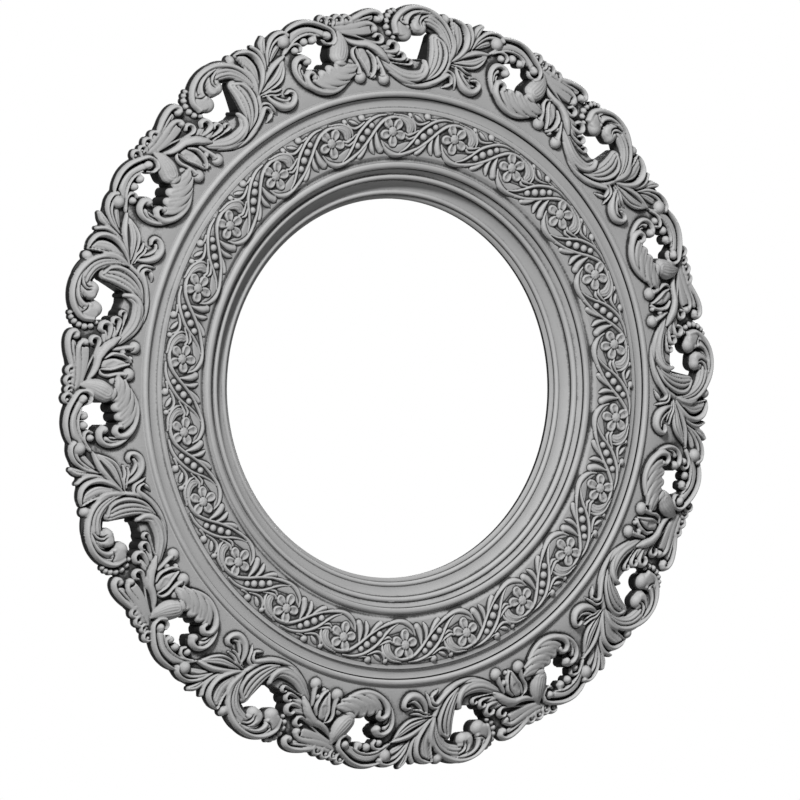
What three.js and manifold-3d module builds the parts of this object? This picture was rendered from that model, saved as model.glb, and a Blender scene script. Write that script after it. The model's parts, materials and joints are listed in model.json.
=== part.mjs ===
// Round mirror frame: turned mouldings round the sight opening, a flower frieze and a pierced border.
// Millimetres. The finished group hangs upright, +Z up, with its front to -Y and its back in the plane y = 0.
// Every piece is drawn flat, with x to the right, y up and z from the back plane towards the viewer.

import * as THREE from 'three';
import { mergeVertices } from 'three/addons/utils/BufferGeometryUtils.js';
import Module from 'manifold-3d';

// Widths of the bands across the face, from the sight opening outwards
const SIGHT_DIAMETER = 447.5;
const SIGHT_RING_WIDTH = 28;
const INNER_MOULDING_WIDTH = 15;
const FRIEZE_WIDTH = 59;
const OUTER_MOULDING_WIDTH = 26;
const BORDER_WIDTH = 103;

// Heights of the bands over the back plane
const LIP_HEIGHT = 16.2;
const SIGHT_BEAD_HEIGHT = 20.2;
const SIGHT_RIDGE_HEIGHT = 32;
const INNER_BEAD_HEIGHT = 39.3;
const FRIEZE_INNER_HEIGHT = 35.2;
const FRIEZE_CREST_HEIGHT = 37.4;
const FRIEZE_OUTER_HEIGHT = 33.6;
const COVE_HEIGHT = 30;
const OUTER_BEAD_HEIGHT = 35.5;
const BORDER_INNER_HEIGHT = 28.9;
const BORDER_RIM_HEIGHT = 4.1;

// Rebate for the mirror glass and its backing board, walled by a ring that a shallow shoulder centres
const REBATE_WIDTH = 6.3;
const REBATE_DEPTH = 9.5;
const SHOULDER_DEPTH = 1.5;

// Built-up core behind the mouldings, and the bow-tie keys across its joints
const CORE_THICKNESS = 12;
const CORE_LAP = 28;
const KEY_LENGTH = 44;
const KEY_END_WIDTH = 24;
const KEY_WAIST_WIDTH = 12;
const KEY_DEPTH = 6;

// Relief of the carving over its ground
const BORDER_RELIEF = 6;
const FRIEZE_RELIEF = 3.2;

// How far one degree reaches in each band's pattern, as a share of the band's width
const BORDER_PITCH = 0.0685;
const FRIEZE_PITCH = 0.0878;

// Turn buttons that hold the mirror in the rebate
const BUTTON_LENGTH = 34;
const BUTTON_WIDTH = 12;
const BUTTON_THICKNESS = 1.6;
const BUTTON_OFFSET = 9;

// Hangers: a steel strap with a rolled eye and a loose D-shaped ring
const STRAP_WIDTH = 18;
const STRAP_LENGTH = 54;
const STRAP_THICKNESS = 1.5;
const EYE_WALL = 1.5;
const RING_WIRE = 3;
const RING_INNER_WIDTH = 21;
const RING_LEG = 6;
const HANGER_RADIUS = 318;
const HANGER_ANGLE = 60;
const STRAP_SCREW_FIRST = 27;
const STRAP_SCREW_PITCH = 18;

// Pan-head wood screws
const SCREW_HEAD_DIAMETER = 8;
const SCREW_HEAD_HEIGHT = 2.2;
const SCREW_SHANK_DIAMETER = 3.6;
const SCREW_DEPTH = 9;

// Felt pads that keep the frame off the wall
const PAD_DIAMETER = 18;
const PAD_THICKNESS = 3;
const PAD_ANGLE = 150;
const PAD_RADIUS = 318;

// Clearances: between glued pieces, round a turning screw and round the hanger's wire
const JOINT_GAP = 0.3;
const PIVOT_CLEARANCE = 0.2;
const WIRE_CLEARANCE = 0.3;

// Counts and directions, in degrees clockwise from the top
const BORDER_SECTIONS = 9;
const BORDER_FIRST_BEAD = 10.9;
const BORDER_JOINT = 20.8;
const FRIEZE_PANELS = 11;
const FLOWERS_PER_PANEL = 2;
const FRIEZE_FIRST_FLOWER = 15;
const STEPS_PER_PANEL = 4;
const CORE_SEGMENTS = 5;
const BUTTON_ANGLES = [45, 135, 225, 315];
const RING_STEPS = FRIEZE_PANELS * STEPS_PER_PANEL;

// Sides of the small round shapes
const SCREW_SIDES = 8;
const EYE_SIDES = 12;
const WIRE_SIDES = 6;
const PAD_SIDES = 12;

// Radii, each band starting one joint gap outside the last
const sightInner = SIGHT_DIAMETER / 2;
const sightOuter = sightInner + SIGHT_RING_WIDTH;
const mouldingInner = sightOuter + JOINT_GAP;
const mouldingOuter = mouldingInner + INNER_MOULDING_WIDTH;
const friezeInner = mouldingOuter + JOINT_GAP;
const friezeOuter = friezeInner + FRIEZE_WIDTH;
const outerInner = friezeOuter + JOINT_GAP;
const outerOuter = outerInner + OUTER_MOULDING_WIDTH;
const borderInner = outerOuter + JOINT_GAP;
const rebateRadius = sightInner + REBATE_WIDTH;
const coreOuter = borderInner + CORE_LAP;
const buttonRadius = (rebateRadius + sightOuter) / 2;
const keyRadius = (sightOuter + coreOuter) / 2;
const seatHeight = CORE_THICKNESS + JOINT_GAP;

// Angles that each repeated piece takes up
const sectionAngle = 360 / BORDER_SECTIONS;
const panelAngle = 360 / FRIEZE_PANELS;
const flowerAngle = panelAngle / FLOWERS_PER_PANEL;
const coreAngle = 360 / CORE_SEGMENTS;
const ringStep = 360 / RING_STEPS;

const manifold = await Module();
manifold.setup();

const materials = {
  paintedWood: () => new THREE.MeshStandardMaterial({ color: 0x9b9b9b, roughness: 0.62, metalness: 0 }),
  paintedMoulding: () => new THREE.MeshStandardMaterial({ color: 0xa3a3a3, roughness: 0.58, metalness: 0 }),
  bareWood: () => new THREE.MeshStandardMaterial({ color: 0xb08d62, roughness: 0.75, metalness: 0 }),
  hardwood: () => new THREE.MeshStandardMaterial({ color: 0x7d5632, roughness: 0.65, metalness: 0 }),
  brass: () => new THREE.MeshStandardMaterial({ color: 0xb49654, roughness: 0.35, metalness: 1 }),
  steel: () => new THREE.MeshStandardMaterial({ color: 0xa9acb0, roughness: 0.38, metalness: 1 }),
  felt: () => new THREE.MeshStandardMaterial({ color: 0x3b3a38, roughness: 1, metalness: 0 }),
};

const radians = THREE.MathUtils.degToRad;

// A closed geometry as a solid: shared corners merged, flat slivers at a revolve's axis left out.
function toSolid(geometry) {
  const bare = new THREE.BufferGeometry();
  bare.setAttribute('position', geometry.getAttribute('position'));
  if (geometry.index) bare.setIndex(geometry.index);
  const merged = mergeVertices(bare, 1e-4);
  const corners = merged.index.array;
  const kept = [];
  for (let i = 0; i < corners.length; i += 3) {
    const [a, b, c] = corners.slice(i, i + 3);
    if (a !== b && b !== c && c !== a) kept.push(a, b, c);
  }
  return new manifold.Manifold(new manifold.Mesh({
    numProp: 3,
    vertProperties: new Float32Array(merged.getAttribute('position').array),
    triVerts: new Uint32Array(kept),
  }));
}

function toGeometry(solid) {
  const { numProp, vertProperties, triVerts } = solid.getMesh();
  const positions = new Float32Array((vertProperties.length / numProp) * 3);
  for (let i = 0; i * numProp < vertProperties.length; i += 1) {
    positions.set(vertProperties.subarray(i * numProp, i * numProp + 3), i * 3);
  }
  const geometry = new THREE.BufferGeometry();
  geometry.setAttribute('position', new THREE.BufferAttribute(positions, 3));
  geometry.setIndex(new THREE.BufferAttribute(new Uint32Array(triVerts), 1));
  geometry.computeVertexNormals();
  return geometry;
}

// A point of the face from degrees clockwise from the top and a radius.
function onFace(degrees, radius) {
  return new THREE.Vector2(radius * Math.sin(radians(degrees)), radius * Math.cos(radians(degrees)));
}

// Corner radius of a polygon of equal steps whose flats stay outside a given radius.
function outsideRadius(radius, stepDegrees) {
  return radius / Math.cos(radians(stepDegrees / 2));
}

// A flat outline drawn out from one height to another.
function extrude(shape, bottom, top, curveSegments = 8) {
  const options = { depth: top - bottom, bevelEnabled: false, curveSegments };
  return new THREE.ExtrudeGeometry(shape, options).translate(0, 0, bottom);
}

// A closed [radius, height] profile turned about the frame's axis, with a corner in the given direction.
function turned(profile, direction = 0, steps = RING_STEPS) {
  const points = profile.map(([radius, height]) => new THREE.Vector2(radius, height));
  if (THREE.ShapeUtils.isClockWise(points)) points.reverse();
  points.push(points[0].clone());
  const geometry = new THREE.LatheGeometry(points, steps, radians(180 - direction));
  return toSolid(geometry.rotateX(Math.PI / 2));
}

// The space between two directions, drawn in by half a joint gap on each side.
function sector(fromDegrees, toDegrees, reach, height) {
  const middle = (fromDegrees + toDegrees) / 2;
  const half = (toDegrees - fromDegrees) / 2;
  const apex = onFace(middle, JOINT_GAP / 2 / Math.sin(radians(half)));
  const corners = [apex];
  const spread = reach / Math.cos(radians(half / 2));
  for (const degrees of [fromDegrees, middle, toDegrees]) {
    corners.push(onFace(degrees, spread).add(apex));
  }
  return toSolid(extrude(new THREE.Shape(corners), -height, 2 * height));
}

// Adds the points of a closed line to a list and gives their numbers there.
function addRing(points, list) {
  return points.map((point) => list.push(point) - 1);
}

// A carved plate: a contour with openings through it and raised features on a ground that falls with radius.
// A feature is an outline on the ground, peaks above it, and faces that number its outline first.
function carved(contour, openings, features, height, bottom) {
  const turnedTo = (points, clockwise) => (
    THREE.ShapeUtils.isClockWise(points) === clockwise ? points : [...points].reverse());
  const walls = [turnedTo(contour, false), ...openings.map((points) => turnedTo(points, true))];
  const grounds = [...walls, ...features.map((feature) => feature.outline)];
  const onGround = (point) => new THREE.Vector3(point.x, point.y, height(point.length()));
  const points = grounds.flat().map(onGround);
  const faces = [];
  const addUpward = (a, b, c) => {
    const turn = (points[b].x - points[a].x) * (points[c].y - points[a].y)
      - (points[b].y - points[a].y) * (points[c].x - points[a].x);
    faces.push(...(turn > 0 ? [a, b, c] : [a, c, b]));
  };
  for (const [a, b, c] of THREE.ShapeUtils.triangulateShape(grounds[0], grounds.slice(1))) addUpward(a, b, c);
  let first = walls.flat().length;
  for (const { outline, peaks, faces: own } of features) {
    const numbers = [...outline.keys()].map((i) => first + i);
    numbers.push(...addRing(peaks, points));
    for (const corners of own) addUpward(...corners.map((corner) => numbers[corner]));
    first += outline.length;
  }
  const under = addRing(walls.flat().map((point) => new THREE.Vector3(point.x, point.y, bottom)), points);
  for (const [a, b, c] of THREE.ShapeUtils.triangulateShape(walls[0], walls.slice(1))) {
    const from = faces.length;
    addUpward(under[a], under[b], under[c]);
    [faces[from], faces[from + 1]] = [faces[from + 1], faces[from]];
  }
  let start = 0;
  for (const wall of walls) {
    for (let i = 0; i < wall.length; i += 1) {
      const here = start + i;
      const next = start + ((i + 1) % wall.length);
      faces.push(under[here], under[next], next, under[here], next, here);
    }
    start += wall.length;
  }
  const geometry = new THREE.BufferGeometry().setFromPoints(points);
  geometry.setIndex(faces);
  return toSolid(geometry);
}

// A point of a band's pattern, which is drawn in shares of the band's width, brought to the face.
function toFace(band, spot) {
  return onFace(spot.x / band.pitch, band.inner + spot.y * band.width);
}

// The same point some height over the band's ground.
function overFace(band, spot, height) {
  const { x, y } = toFace(band, spot);
  return new THREE.Vector3(x, y, band.height(Math.hypot(x, y)) + height);
}

// A ridge of carving along a line of [degrees, share of the band, width as a share of the band] points.
function ridge(band, line, relief, steps) {
  const curve = new THREE.CatmullRomCurve3(line.map(([degrees, share, width]) => (
    new THREE.Vector3(degrees * band.pitch, share, width))));
  const left = [];
  const right = [];
  const peaks = [];
  for (let i = 0; i <= steps; i += 1) {
    const spot = curve.getPoint(i / steps);
    const tangent = curve.getTangent(i / steps).setZ(0).normalize();
    const side = new THREE.Vector2(-tangent.y, tangent.x).multiplyScalar(spot.z / 2);
    left.push(toFace(band, side.clone().add(spot)));
    right.push(toFace(band, side.clone().negate().add(spot)));
    const crest = curve.getPoint(THREE.MathUtils.clamp(i, 0.3, steps - 0.3) / steps);
    peaks.push(overFace(band, crest, relief));
  }
  const last = 2 * steps + 1;
  const top = last + 1;
  const faces = [[0, top, last], [steps, steps + 1, top + steps]];
  for (let i = 0; i < steps; i += 1) {
    faces.push([i, i + 1, top + i + 1], [i, top + i + 1, top + i]);
    faces.push([last - i, top + i, top + i + 1], [last - i, top + i + 1, last - i - 1]);
  }
  return { outline: [...left, ...right.reverse()], peaks, faces };
}

// A rosette: rings of corners about a centre, each [share at the corners, share between, height], and a top.
function rosette(band, [degrees, share], corners, rings, topHeight) {
  const centre = new THREE.Vector2(degrees * band.pitch, share);
  const ringPoints = ([radius, between, height]) => {
    const points = [];
    for (let i = 0; i < corners; i += 1) {
      const spot = onFace(180 + (i * 360) / corners, i % 2 === 0 ? radius : between).add(centre);
      points.push(overFace(band, spot, height));
    }
    return points;
  };
  const outline = ringPoints(rings[0]).map((point) => new THREE.Vector2(point.x, point.y));
  const peaks = rings.slice(1).flatMap(ringPoints);
  peaks.push(overFace(band, centre, topHeight));
  const faces = [];
  for (let i = 0; i < corners; i += 1) {
    const next = (i + 1) % corners;
    for (let j = 1; j < rings.length; j += 1) {
      const low = (j - 1) * corners;
      faces.push([low + i, low + next, low + corners + next]);
      faces.push([low + i, low + corners + next, low + corners + i]);
    }
    const high = (rings.length - 1) * corners;
    faces.push([high + i, high + next, rings.length * corners]);
  }
  return { outline, peaks, faces };
}

// A carved ball that stands half out of its ground.
function ball(band, [degrees, share, radius]) {
  const shoulder = radius * 0.7;
  const rings = [[radius, radius, 0], [shoulder, shoulder, shoulder * band.width]];
  return rosette(band, [degrees, share], 6, rings, radius * band.width);
}

const border = {
  inner: borderInner,
  width: BORDER_WIDTH,
  pitch: BORDER_PITCH,
  height(radius) {
    const share = THREE.MathUtils.clamp((radius - borderInner) / BORDER_WIDTH, 0, 1);
    const fall = (1 + Math.cos(Math.PI * share)) / 2;
    return BORDER_RIM_HEIGHT + (BORDER_INNER_HEIGHT - BORDER_RIM_HEIGHT) * fall;
  },
};

const frieze = {
  inner: friezeInner,
  width: FRIEZE_WIDTH,
  pitch: FRIEZE_PITCH,
  height(radius) {
    const share = THREE.MathUtils.clamp((radius - friezeInner) / FRIEZE_WIDTH, 0, 1);
    const edge = share < 0.5 ? FRIEZE_INNER_HEIGHT : FRIEZE_OUTER_HEIGHT;
    return edge + (FRIEZE_CREST_HEIGHT - edge) * Math.sin(Math.PI * share);
  },
};

// The border's rim, lobe after lobe clockwise: [degrees from the section's bead, share of its width].
const RIM_LOBES = [
  { name: 'last curl', steps: 2, points: [[-21.2, 0.92], [-20, 0.94], [-18.7, 0.89]] },
  { name: 'curl', steps: 2, points: [[-18.7, 0.89], [-17.9, 0.92], [-16.8, 0.86]] },
  {
    name: 'long scroll',
    steps: 4,
    points: [[-16.8, 0.86], [-14.8, 0.92], [-12.8, 0.93], [-11.8, 0.89], [-11.4, 0.82]],
  },
  { name: 'pearls', steps: 3, points: [[-11.4, 0.82], [-10.8, 0.89], [-9.8, 0.94], [-8.8, 0.93]] },
  { name: 'arch', steps: 6, points: [[-8.8, 0.93], [-7, 0.98], [-4.9, 1], [-2.7, 0.96], [-1.1, 0.88]] },
  { name: 'bead', steps: 3, points: [[-1.1, 0.88], [-0.2, 0.94], [0.8, 0.89]] },
  { name: 'fan', steps: 3, points: [[0.8, 0.89], [1.8, 0.93], [3.7, 0.89]] },
  { name: 'fan tip', steps: 2, points: [[3.7, 0.89], [4.2, 0.91], [4.8, 0.87]] },
  { name: 'forked tip', steps: 3, points: [[4.8, 0.87], [6.2, 0.93], [7, 0.91]] },
  { name: 'leaf scroll', steps: 3, points: [[7, 0.91], [8.8, 0.94], [10.1, 0.94], [11.1, 0.9]] },
  { name: 'ribbed arch', steps: 4, points: [[11.1, 0.9], [12.7, 0.95], [14.9, 0.95], [17.1, 0.89]] },
  { name: 'small curl', steps: 2, points: [[17.1, 0.89], [17.8, 0.95], [18.8, 0.91]] },
  { name: 'next curl', steps: 2, points: [[18.8, 0.91], [19.8, 0.94], [21.3, 0.89], [23, 0.9]] },
];

// The two pierced openings of a section, on the same terms.
const WIDE_OPENING = [
  [-9.9, 0.6], [-7.7, 0.59], [-6.8, 0.67], [-5.6, 0.64], [-4.4, 0.66], [-3.8, 0.71], [-3, 0.69],
  [-3.5, 0.48], [-4.2, 0.28], [-4.7, 0.35], [-7, 0.35], [-8.4, 0.4], [-9.4, 0.47],
];
const ROUND_OPENING = [
  [11.4, 0.61], [12.8, 0.55], [12.7, 0.46], [11.4, 0.4], [12, 0.3], [13.2, 0.27], [16, 0.3],
  [16.9, 0.4], [18.1, 0.59], [16.7, 0.62], [16, 0.72], [15, 0.64], [13.2, 0.63],
];

// Carved strokes of a section, as [degrees, share, width share] along each crest, clear of one another.
const BORDER_STROKES = [
  {
    name: 'arching leaf',
    steps: 5,
    line: [[0.6, 0.36, 0.06], [-0.3, 0.62, 0.11], [-2.8, 0.86, 0.15], [-6.3, 0.9, 0.13], [-8.3, 0.78, 0.13], [-8.3, 0.68, 0.1]],
  },
  { name: 'half leaf', steps: 2, line: [[-3.4, 0.22, 0.04], [-2.3, 0.42, 0.12], [-2.3, 0.64, 0.05]] },
  {
    name: 'lower leaf',
    steps: 3,
    line: [[-12.6, 0.36, 0.05], [-9.2, 0.22, 0.12], [-6, 0.19, 0.12], [-5.2, 0.29, 0.05]],
  },
  {
    name: 'long scroll',
    steps: 3,
    line: [[-18.8, 0.8, 0.04], [-16.2, 0.79, 0.08], [-13, 0.86, 0.1], [-12.3, 0.78, 0.05]],
  },
  {
    name: 'smooth leaf',
    steps: 3,
    line: [[-18.8, 0.62, 0.05], [-15.9, 0.58, 0.1], [-13.4, 0.42, 0.06]],
  },
  { name: 'fan leaf', steps: 2, line: [[1.2, 0.42, 0.03], [2.6, 0.62, 0.11], [1.9, 0.85, 0.06]] },
  { name: 'outer fan leaf', steps: 2, line: [[3.4, 0.52, 0.03], [4.8, 0.68, 0.07], [4.2, 0.83, 0.04]] },
  { name: 'leaf scroll', steps: 3, line: [[6.1, 0.62, 0.04], [7.3, 0.81, 0.09], [9.9, 0.87, 0.08]] },
  { name: 'flower bud', steps: 2, line: [[2, 0.36, 0.02], [4.9, 0.49, 0.1], [7.8, 0.59, 0.03]] },
  {
    name: 'ribbed arch',
    steps: 3,
    line: [[8.6, 0.64, 0.04], [11.4, 0.77, 0.1], [14.6, 0.84, 0.13], [16.8, 0.79, 0.09]],
  },
  {
    name: 'horn',
    steps: 4,
    line: [[11.7, 0.5, 0.05], [10.3, 0.44, 0.07], [11, 0.24, 0.12], [15, 0.14, 0.16], [19.2, 0.2, 0.16]],
  },
  { name: 'horn bulb', steps: 2, line: [[18.4, 0.34, 0.1], [18.6, 0.44, 0.16], [19.6, 0.6, 0.05]] },
  {
    name: 'hooked curl',
    steps: 3,
    line: [[2.7, 0.3, 0.04], [4.2, 0.15, 0.08], [6.8, 0.14, 0.08], [6.9, 0.24, 0.05]],
  },
  { name: 'hanging bud', steps: 2, line: [[-16.6, 0.47, 0.1], [-17, 0.32, 0.14], [-16.2, 0.16, 0.05]] },
];
const BORDER_BALLS = [[-0.2, 0.86, 0.048], [17.8, 0.69, 0.05]];

// One section of the border: a pierced web on its falling ground, with the carving on it.
function borderSection() {
  const inPattern = ([degrees, share]) => new THREE.Vector2(degrees * BORDER_PITCH, share);
  const placed = (points) => points.map((spot) => toFace(border, spot));
  const contour = [];
  for (const lobe of RIM_LOBES) {
    const curve = new THREE.SplineCurve(lobe.points.map(inPattern));
    contour.push(...placed(curve.getPoints(lobe.steps).slice(0, -1)));
  }
  const innerStep = sectionAngle / 6;
  for (let step = 4; step >= -4; step -= 1) {
    contour.push(onFace(step * innerStep, outsideRadius(borderInner, innerStep)));
  }
  const openings = [WIDE_OPENING, ROUND_OPENING].map((points) => placed(points.map(inPattern)));
  const strokes = BORDER_STROKES.map(({ line, steps }) => ridge(border, line, BORDER_RELIEF, steps));
  const balls = BORDER_BALLS.map((spot) => ball(border, spot));
  const web = carved(contour, openings, [...strokes, ...balls], border.height, 0);
  const recessStep = sectionAngle / 3;
  const recess = outsideRadius(coreOuter + JOINT_GAP, recessStep);
  const core = new THREE.CylinderGeometry(recess, recess, 2 * seatHeight, 360 / recessStep);
  const reach = (borderInner + BORDER_WIDTH) * 1.2;
  return web.subtract(toSolid(core.rotateX(Math.PI / 2)))
    .intersect(sector(BORDER_JOINT - sectionAngle, BORDER_JOINT, reach, 2 * BORDER_INNER_HEIGHT));
}

// Strokes of one flower repeat of the frieze, on the frieze's own terms.
const FRIEZE_STROKES = [
  {
    name: 'inner stem',
    steps: 4,
    line: [[-12.4, 0.17, 0.04], [-9.5, 0.32, 0.07], [-4.6, 0.7, 0.07], [0, 0.92, 0.06], [3.1, 0.7, 0.04]],
  },
  {
    name: 'outer stem',
    steps: 4,
    line: [[-2.6, 0.32, 0.04], [-0.4, 0.14, 0.1], [4.6, 0.38, 0.08], [9, 0.76, 0.07], [13.2, 0.95, 0.04]],
  },
  { name: 'turned leaf', steps: 2, line: [[2.7, 0.92, 0.05], [4.6, 0.82, 0.13], [4.9, 0.64, 0.06]] },
  { name: 'comma leaf', steps: 2, line: [[-4.5, 0.58, 0.05], [-4.6, 0.4, 0.13], [-3.9, 0.24, 0.1]] },
  { name: 'berries', steps: 1, line: [[-10, 0.4, 0.05], [-7.6, 0.58, 0.09], [-5.6, 0.73, 0.05]] },
];
const FLOWER_SPOT = [-0.2, 0.59];
const PETALS = 5;

// A flower of five petals with a boss in its middle.
function flower(turn) {
  const petal = 0.24;
  const rise = FRIEZE_RELIEF;
  const rings = [[petal, petal * 0.62, 0], [petal * 0.9, petal * 0.55, rise]];
  return rosette(frieze, [turn + FLOWER_SPOT[0], FLOWER_SPOT[1]], 2 * PETALS, rings, rise * 1.3);
}

// One panel of the frieze: a cushion between two joints with its flowers and stems.
function friezePanel() {
  const half = panelAngle / 2;
  const contour = [];
  const reachSteps = STEPS_PER_PANEL / 2 + 3;
  for (let step = -reachSteps; step <= reachSteps; step += 1) {
    contour.push(onFace(step * ringStep, friezeOuter));
  }
  for (let step = reachSteps; step >= -reachSteps; step -= 1) {
    contour.push(onFace(step * ringStep, outsideRadius(friezeInner, ringStep)));
  }
  const features = [];
  for (let i = -1; i <= FLOWERS_PER_PANEL; i += 1) {
    const turn = (i - (FLOWERS_PER_PANEL - 1) / 2) * flowerAngle;
    for (const stroke of FRIEZE_STROKES) {
      const line = stroke.line.map(([degrees, share, width]) => [degrees + turn, share, width]);
      const reaches = line.some(([degrees]) => Math.abs(degrees) < half);
      if (reaches) features.push(ridge(frieze, line, FRIEZE_RELIEF, stroke.steps));
    }
    if (Math.abs(turn) < half) features.push(flower(turn));
  }
  const cushion = carved(contour, [], features, frieze.height, seatHeight);
  return cushion.intersect(sector(-half, half, friezeOuter * 1.2, 2 * INNER_BEAD_HEIGHT));
}

// The ring round the sight opening: lip, bead, scotia and ridge, with the glass's seat behind.
function sightRing() {
  const at = (share) => sightInner + share * SIGHT_RING_WIDTH;
  return turned([
    [sightInner, REBATE_DEPTH],
    [sightInner, LIP_HEIGHT],
    [at(0.1), LIP_HEIGHT],
    [at(0.2), SIGHT_BEAD_HEIGHT - 0.6],
    [at(0.32), SIGHT_BEAD_HEIGHT - 0.3],
    [at(0.62), SIGHT_BEAD_HEIGHT + 1],
    [at(0.78), SIGHT_RIDGE_HEIGHT - 4],
    [at(0.88), SIGHT_RIDGE_HEIGHT],
    [sightOuter, SIGHT_RIDGE_HEIGHT - 1.6],
    [sightOuter, REBATE_DEPTH - SHOULDER_DEPTH],
    [rebateRadius, REBATE_DEPTH - SHOULDER_DEPTH],
    [rebateRadius, REBATE_DEPTH],
  ]);
}

// The ring behind it that walls the rebate and takes the turn buttons' screws.
function rebateRing() {
  const front = REBATE_DEPTH - SHOULDER_DEPTH - JOINT_GAP;
  return turned([
    [rebateRadius, 0],
    [rebateRadius, front],
    [sightOuter, front],
    [sightOuter, 0],
  ]);
}

// A fillet that climbs to the tall bead inside the frieze.
function innerMoulding() {
  const inner = outsideRadius(mouldingInner, ringStep);
  const at = (share) => mouldingInner + share * INNER_MOULDING_WIDTH;
  return turned([
    [inner, seatHeight],
    [inner, SIGHT_RIDGE_HEIGHT - 0.6],
    [at(0.44), INNER_BEAD_HEIGHT - 5],
    [at(0.54), INNER_BEAD_HEIGHT - 1.6],
    [at(0.72), INNER_BEAD_HEIGHT],
    [at(0.88), INNER_BEAD_HEIGHT - 1.4],
    [mouldingOuter, FRIEZE_INNER_HEIGHT],
    [mouldingOuter, seatHeight],
  ]);
}

// A flat, a cove and the bead outside the frieze.
function outerMoulding() {
  const inner = outsideRadius(outerInner, ringStep);
  const at = (share) => outerInner + share * OUTER_MOULDING_WIDTH;
  return turned([
    [inner, seatHeight],
    [inner, FRIEZE_OUTER_HEIGHT - 0.6],
    [at(0.22), FRIEZE_OUTER_HEIGHT - 0.6],
    [at(0.42), COVE_HEIGHT],
    [at(0.66), COVE_HEIGHT + 1],
    [at(0.75), OUTER_BEAD_HEIGHT - 0.8],
    [at(0.87), OUTER_BEAD_HEIGHT],
    [at(0.97), OUTER_BEAD_HEIGHT - 2.6],
    [outerOuter, BORDER_INNER_HEIGHT],
    [outerOuter, seatHeight],
  ]);
}

// A bow-tie outline across a joint; a margin widens it into the pocket that takes the key.
function bowTie(margin) {
  const reach = KEY_LENGTH / 2 + margin;
  const end = KEY_END_WIDTH / 2 + margin;
  const waist = KEY_WAIST_WIDTH / 2 + margin;
  return new THREE.Shape([
    new THREE.Vector2(-reach, -end),
    new THREE.Vector2(0, -waist),
    new THREE.Vector2(reach, -end),
    new THREE.Vector2(reach, end),
    new THREE.Vector2(0, waist),
    new THREE.Vector2(-reach, end),
  ]);
}

// A key across the joint at the top, or the pocket that takes it, which runs out past the back plane.
function coreKey(margin) {
  const bottom = margin > 0 ? -KEY_DEPTH : 0;
  return extrude(bowTie(margin), bottom, KEY_DEPTH + margin).translate(0, keyRadius, 0);
}

// The space of a hole for a screw that enters from the back.
function screwHole(spot, clearance) {
  const radius = outsideRadius(SCREW_SHANK_DIAMETER / 2 + clearance, 360 / SCREW_SIDES);
  const depth = SCREW_DEPTH + JOINT_GAP;
  const geometry = new THREE.CylinderGeometry(radius, radius, 2 * depth, SCREW_SIDES).rotateX(Math.PI / 2);
  return toSolid(geometry.translate(spot.x, spot.y, 0));
}

// A piece with its screw holes, of which only those that meet it cut it.
function drilled(solid, spots) {
  return spots.reduce((piece, spot) => piece.subtract(screwHole(spot, JOINT_GAP)), solid);
}

// One plate of the core, centred on the top, with half a key pocket at each end.
function coreSegment() {
  const outline = [];
  for (let i = -6; i <= 6; i += 1) outline.push(onFace((i * coreAngle) / 10, coreOuter));
  for (let i = 5; i >= -5; i -= 1) outline.push(onFace(i * ringStep, outsideRadius(mouldingInner, ringStep)));
  let segment = toSolid(extrude(new THREE.Shape(outline), 0, CORE_THICKNESS));
  segment = segment.intersect(sector(-coreAngle / 2, coreAngle / 2, coreOuter * 1.3, CORE_THICKNESS * 2));
  for (const end of [-coreAngle / 2, coreAngle / 2]) {
    segment = segment.subtract(toSolid(coreKey(JOINT_GAP).rotateZ(-radians(end))));
  }
  return segment;
}

// A pan-head screw that enters the back plane over a plate of the given thickness.
function screw(plateThickness) {
  const head = -JOINT_GAP - plateThickness - JOINT_GAP;
  const shank = SCREW_SHANK_DIAMETER / 2;
  const rim = SCREW_HEAD_DIAMETER / 2;
  return turned([
    [0, head - SCREW_HEAD_HEIGHT],
    [rim * 0.8, head - SCREW_HEAD_HEIGHT],
    [rim, head],
    [shank, head],
    [shank, SCREW_DEPTH - shank],
    [0, SCREW_DEPTH],
  ], 0, SCREW_SIDES);
}

// A brass turn button: a round-ended plate with its pivot hole near one end.
function turnButton() {
  const end = BUTTON_WIDTH / 2;
  const plate = new THREE.Shape();
  plate.absarc(end - BUTTON_OFFSET, 0, end, Math.PI / 2, (3 * Math.PI) / 2, false);
  plate.absarc(BUTTON_LENGTH - BUTTON_OFFSET - end, 0, end, -Math.PI / 2, Math.PI / 2, false);
  const hole = new THREE.Path();
  const radius = SCREW_SHANK_DIAMETER / 2 + PIVOT_CLEARANCE;
  hole.absarc(0, 0, outsideRadius(radius, 360 / SCREW_SIDES), 0, 2 * Math.PI, true);
  plate.holes.push(hole);
  return toSolid(extrude(plate, -JOINT_GAP - BUTTON_THICKNESS, -JOINT_GAP, SCREW_SIDES / 2));
}

const wire = RING_WIRE / 2;
const eyeBore = wire + WIRE_CLEARANCE;
const eyeOuter = eyeBore + EYE_WALL;
const eyeBehind = JOINT_GAP + eyeOuter;

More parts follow.
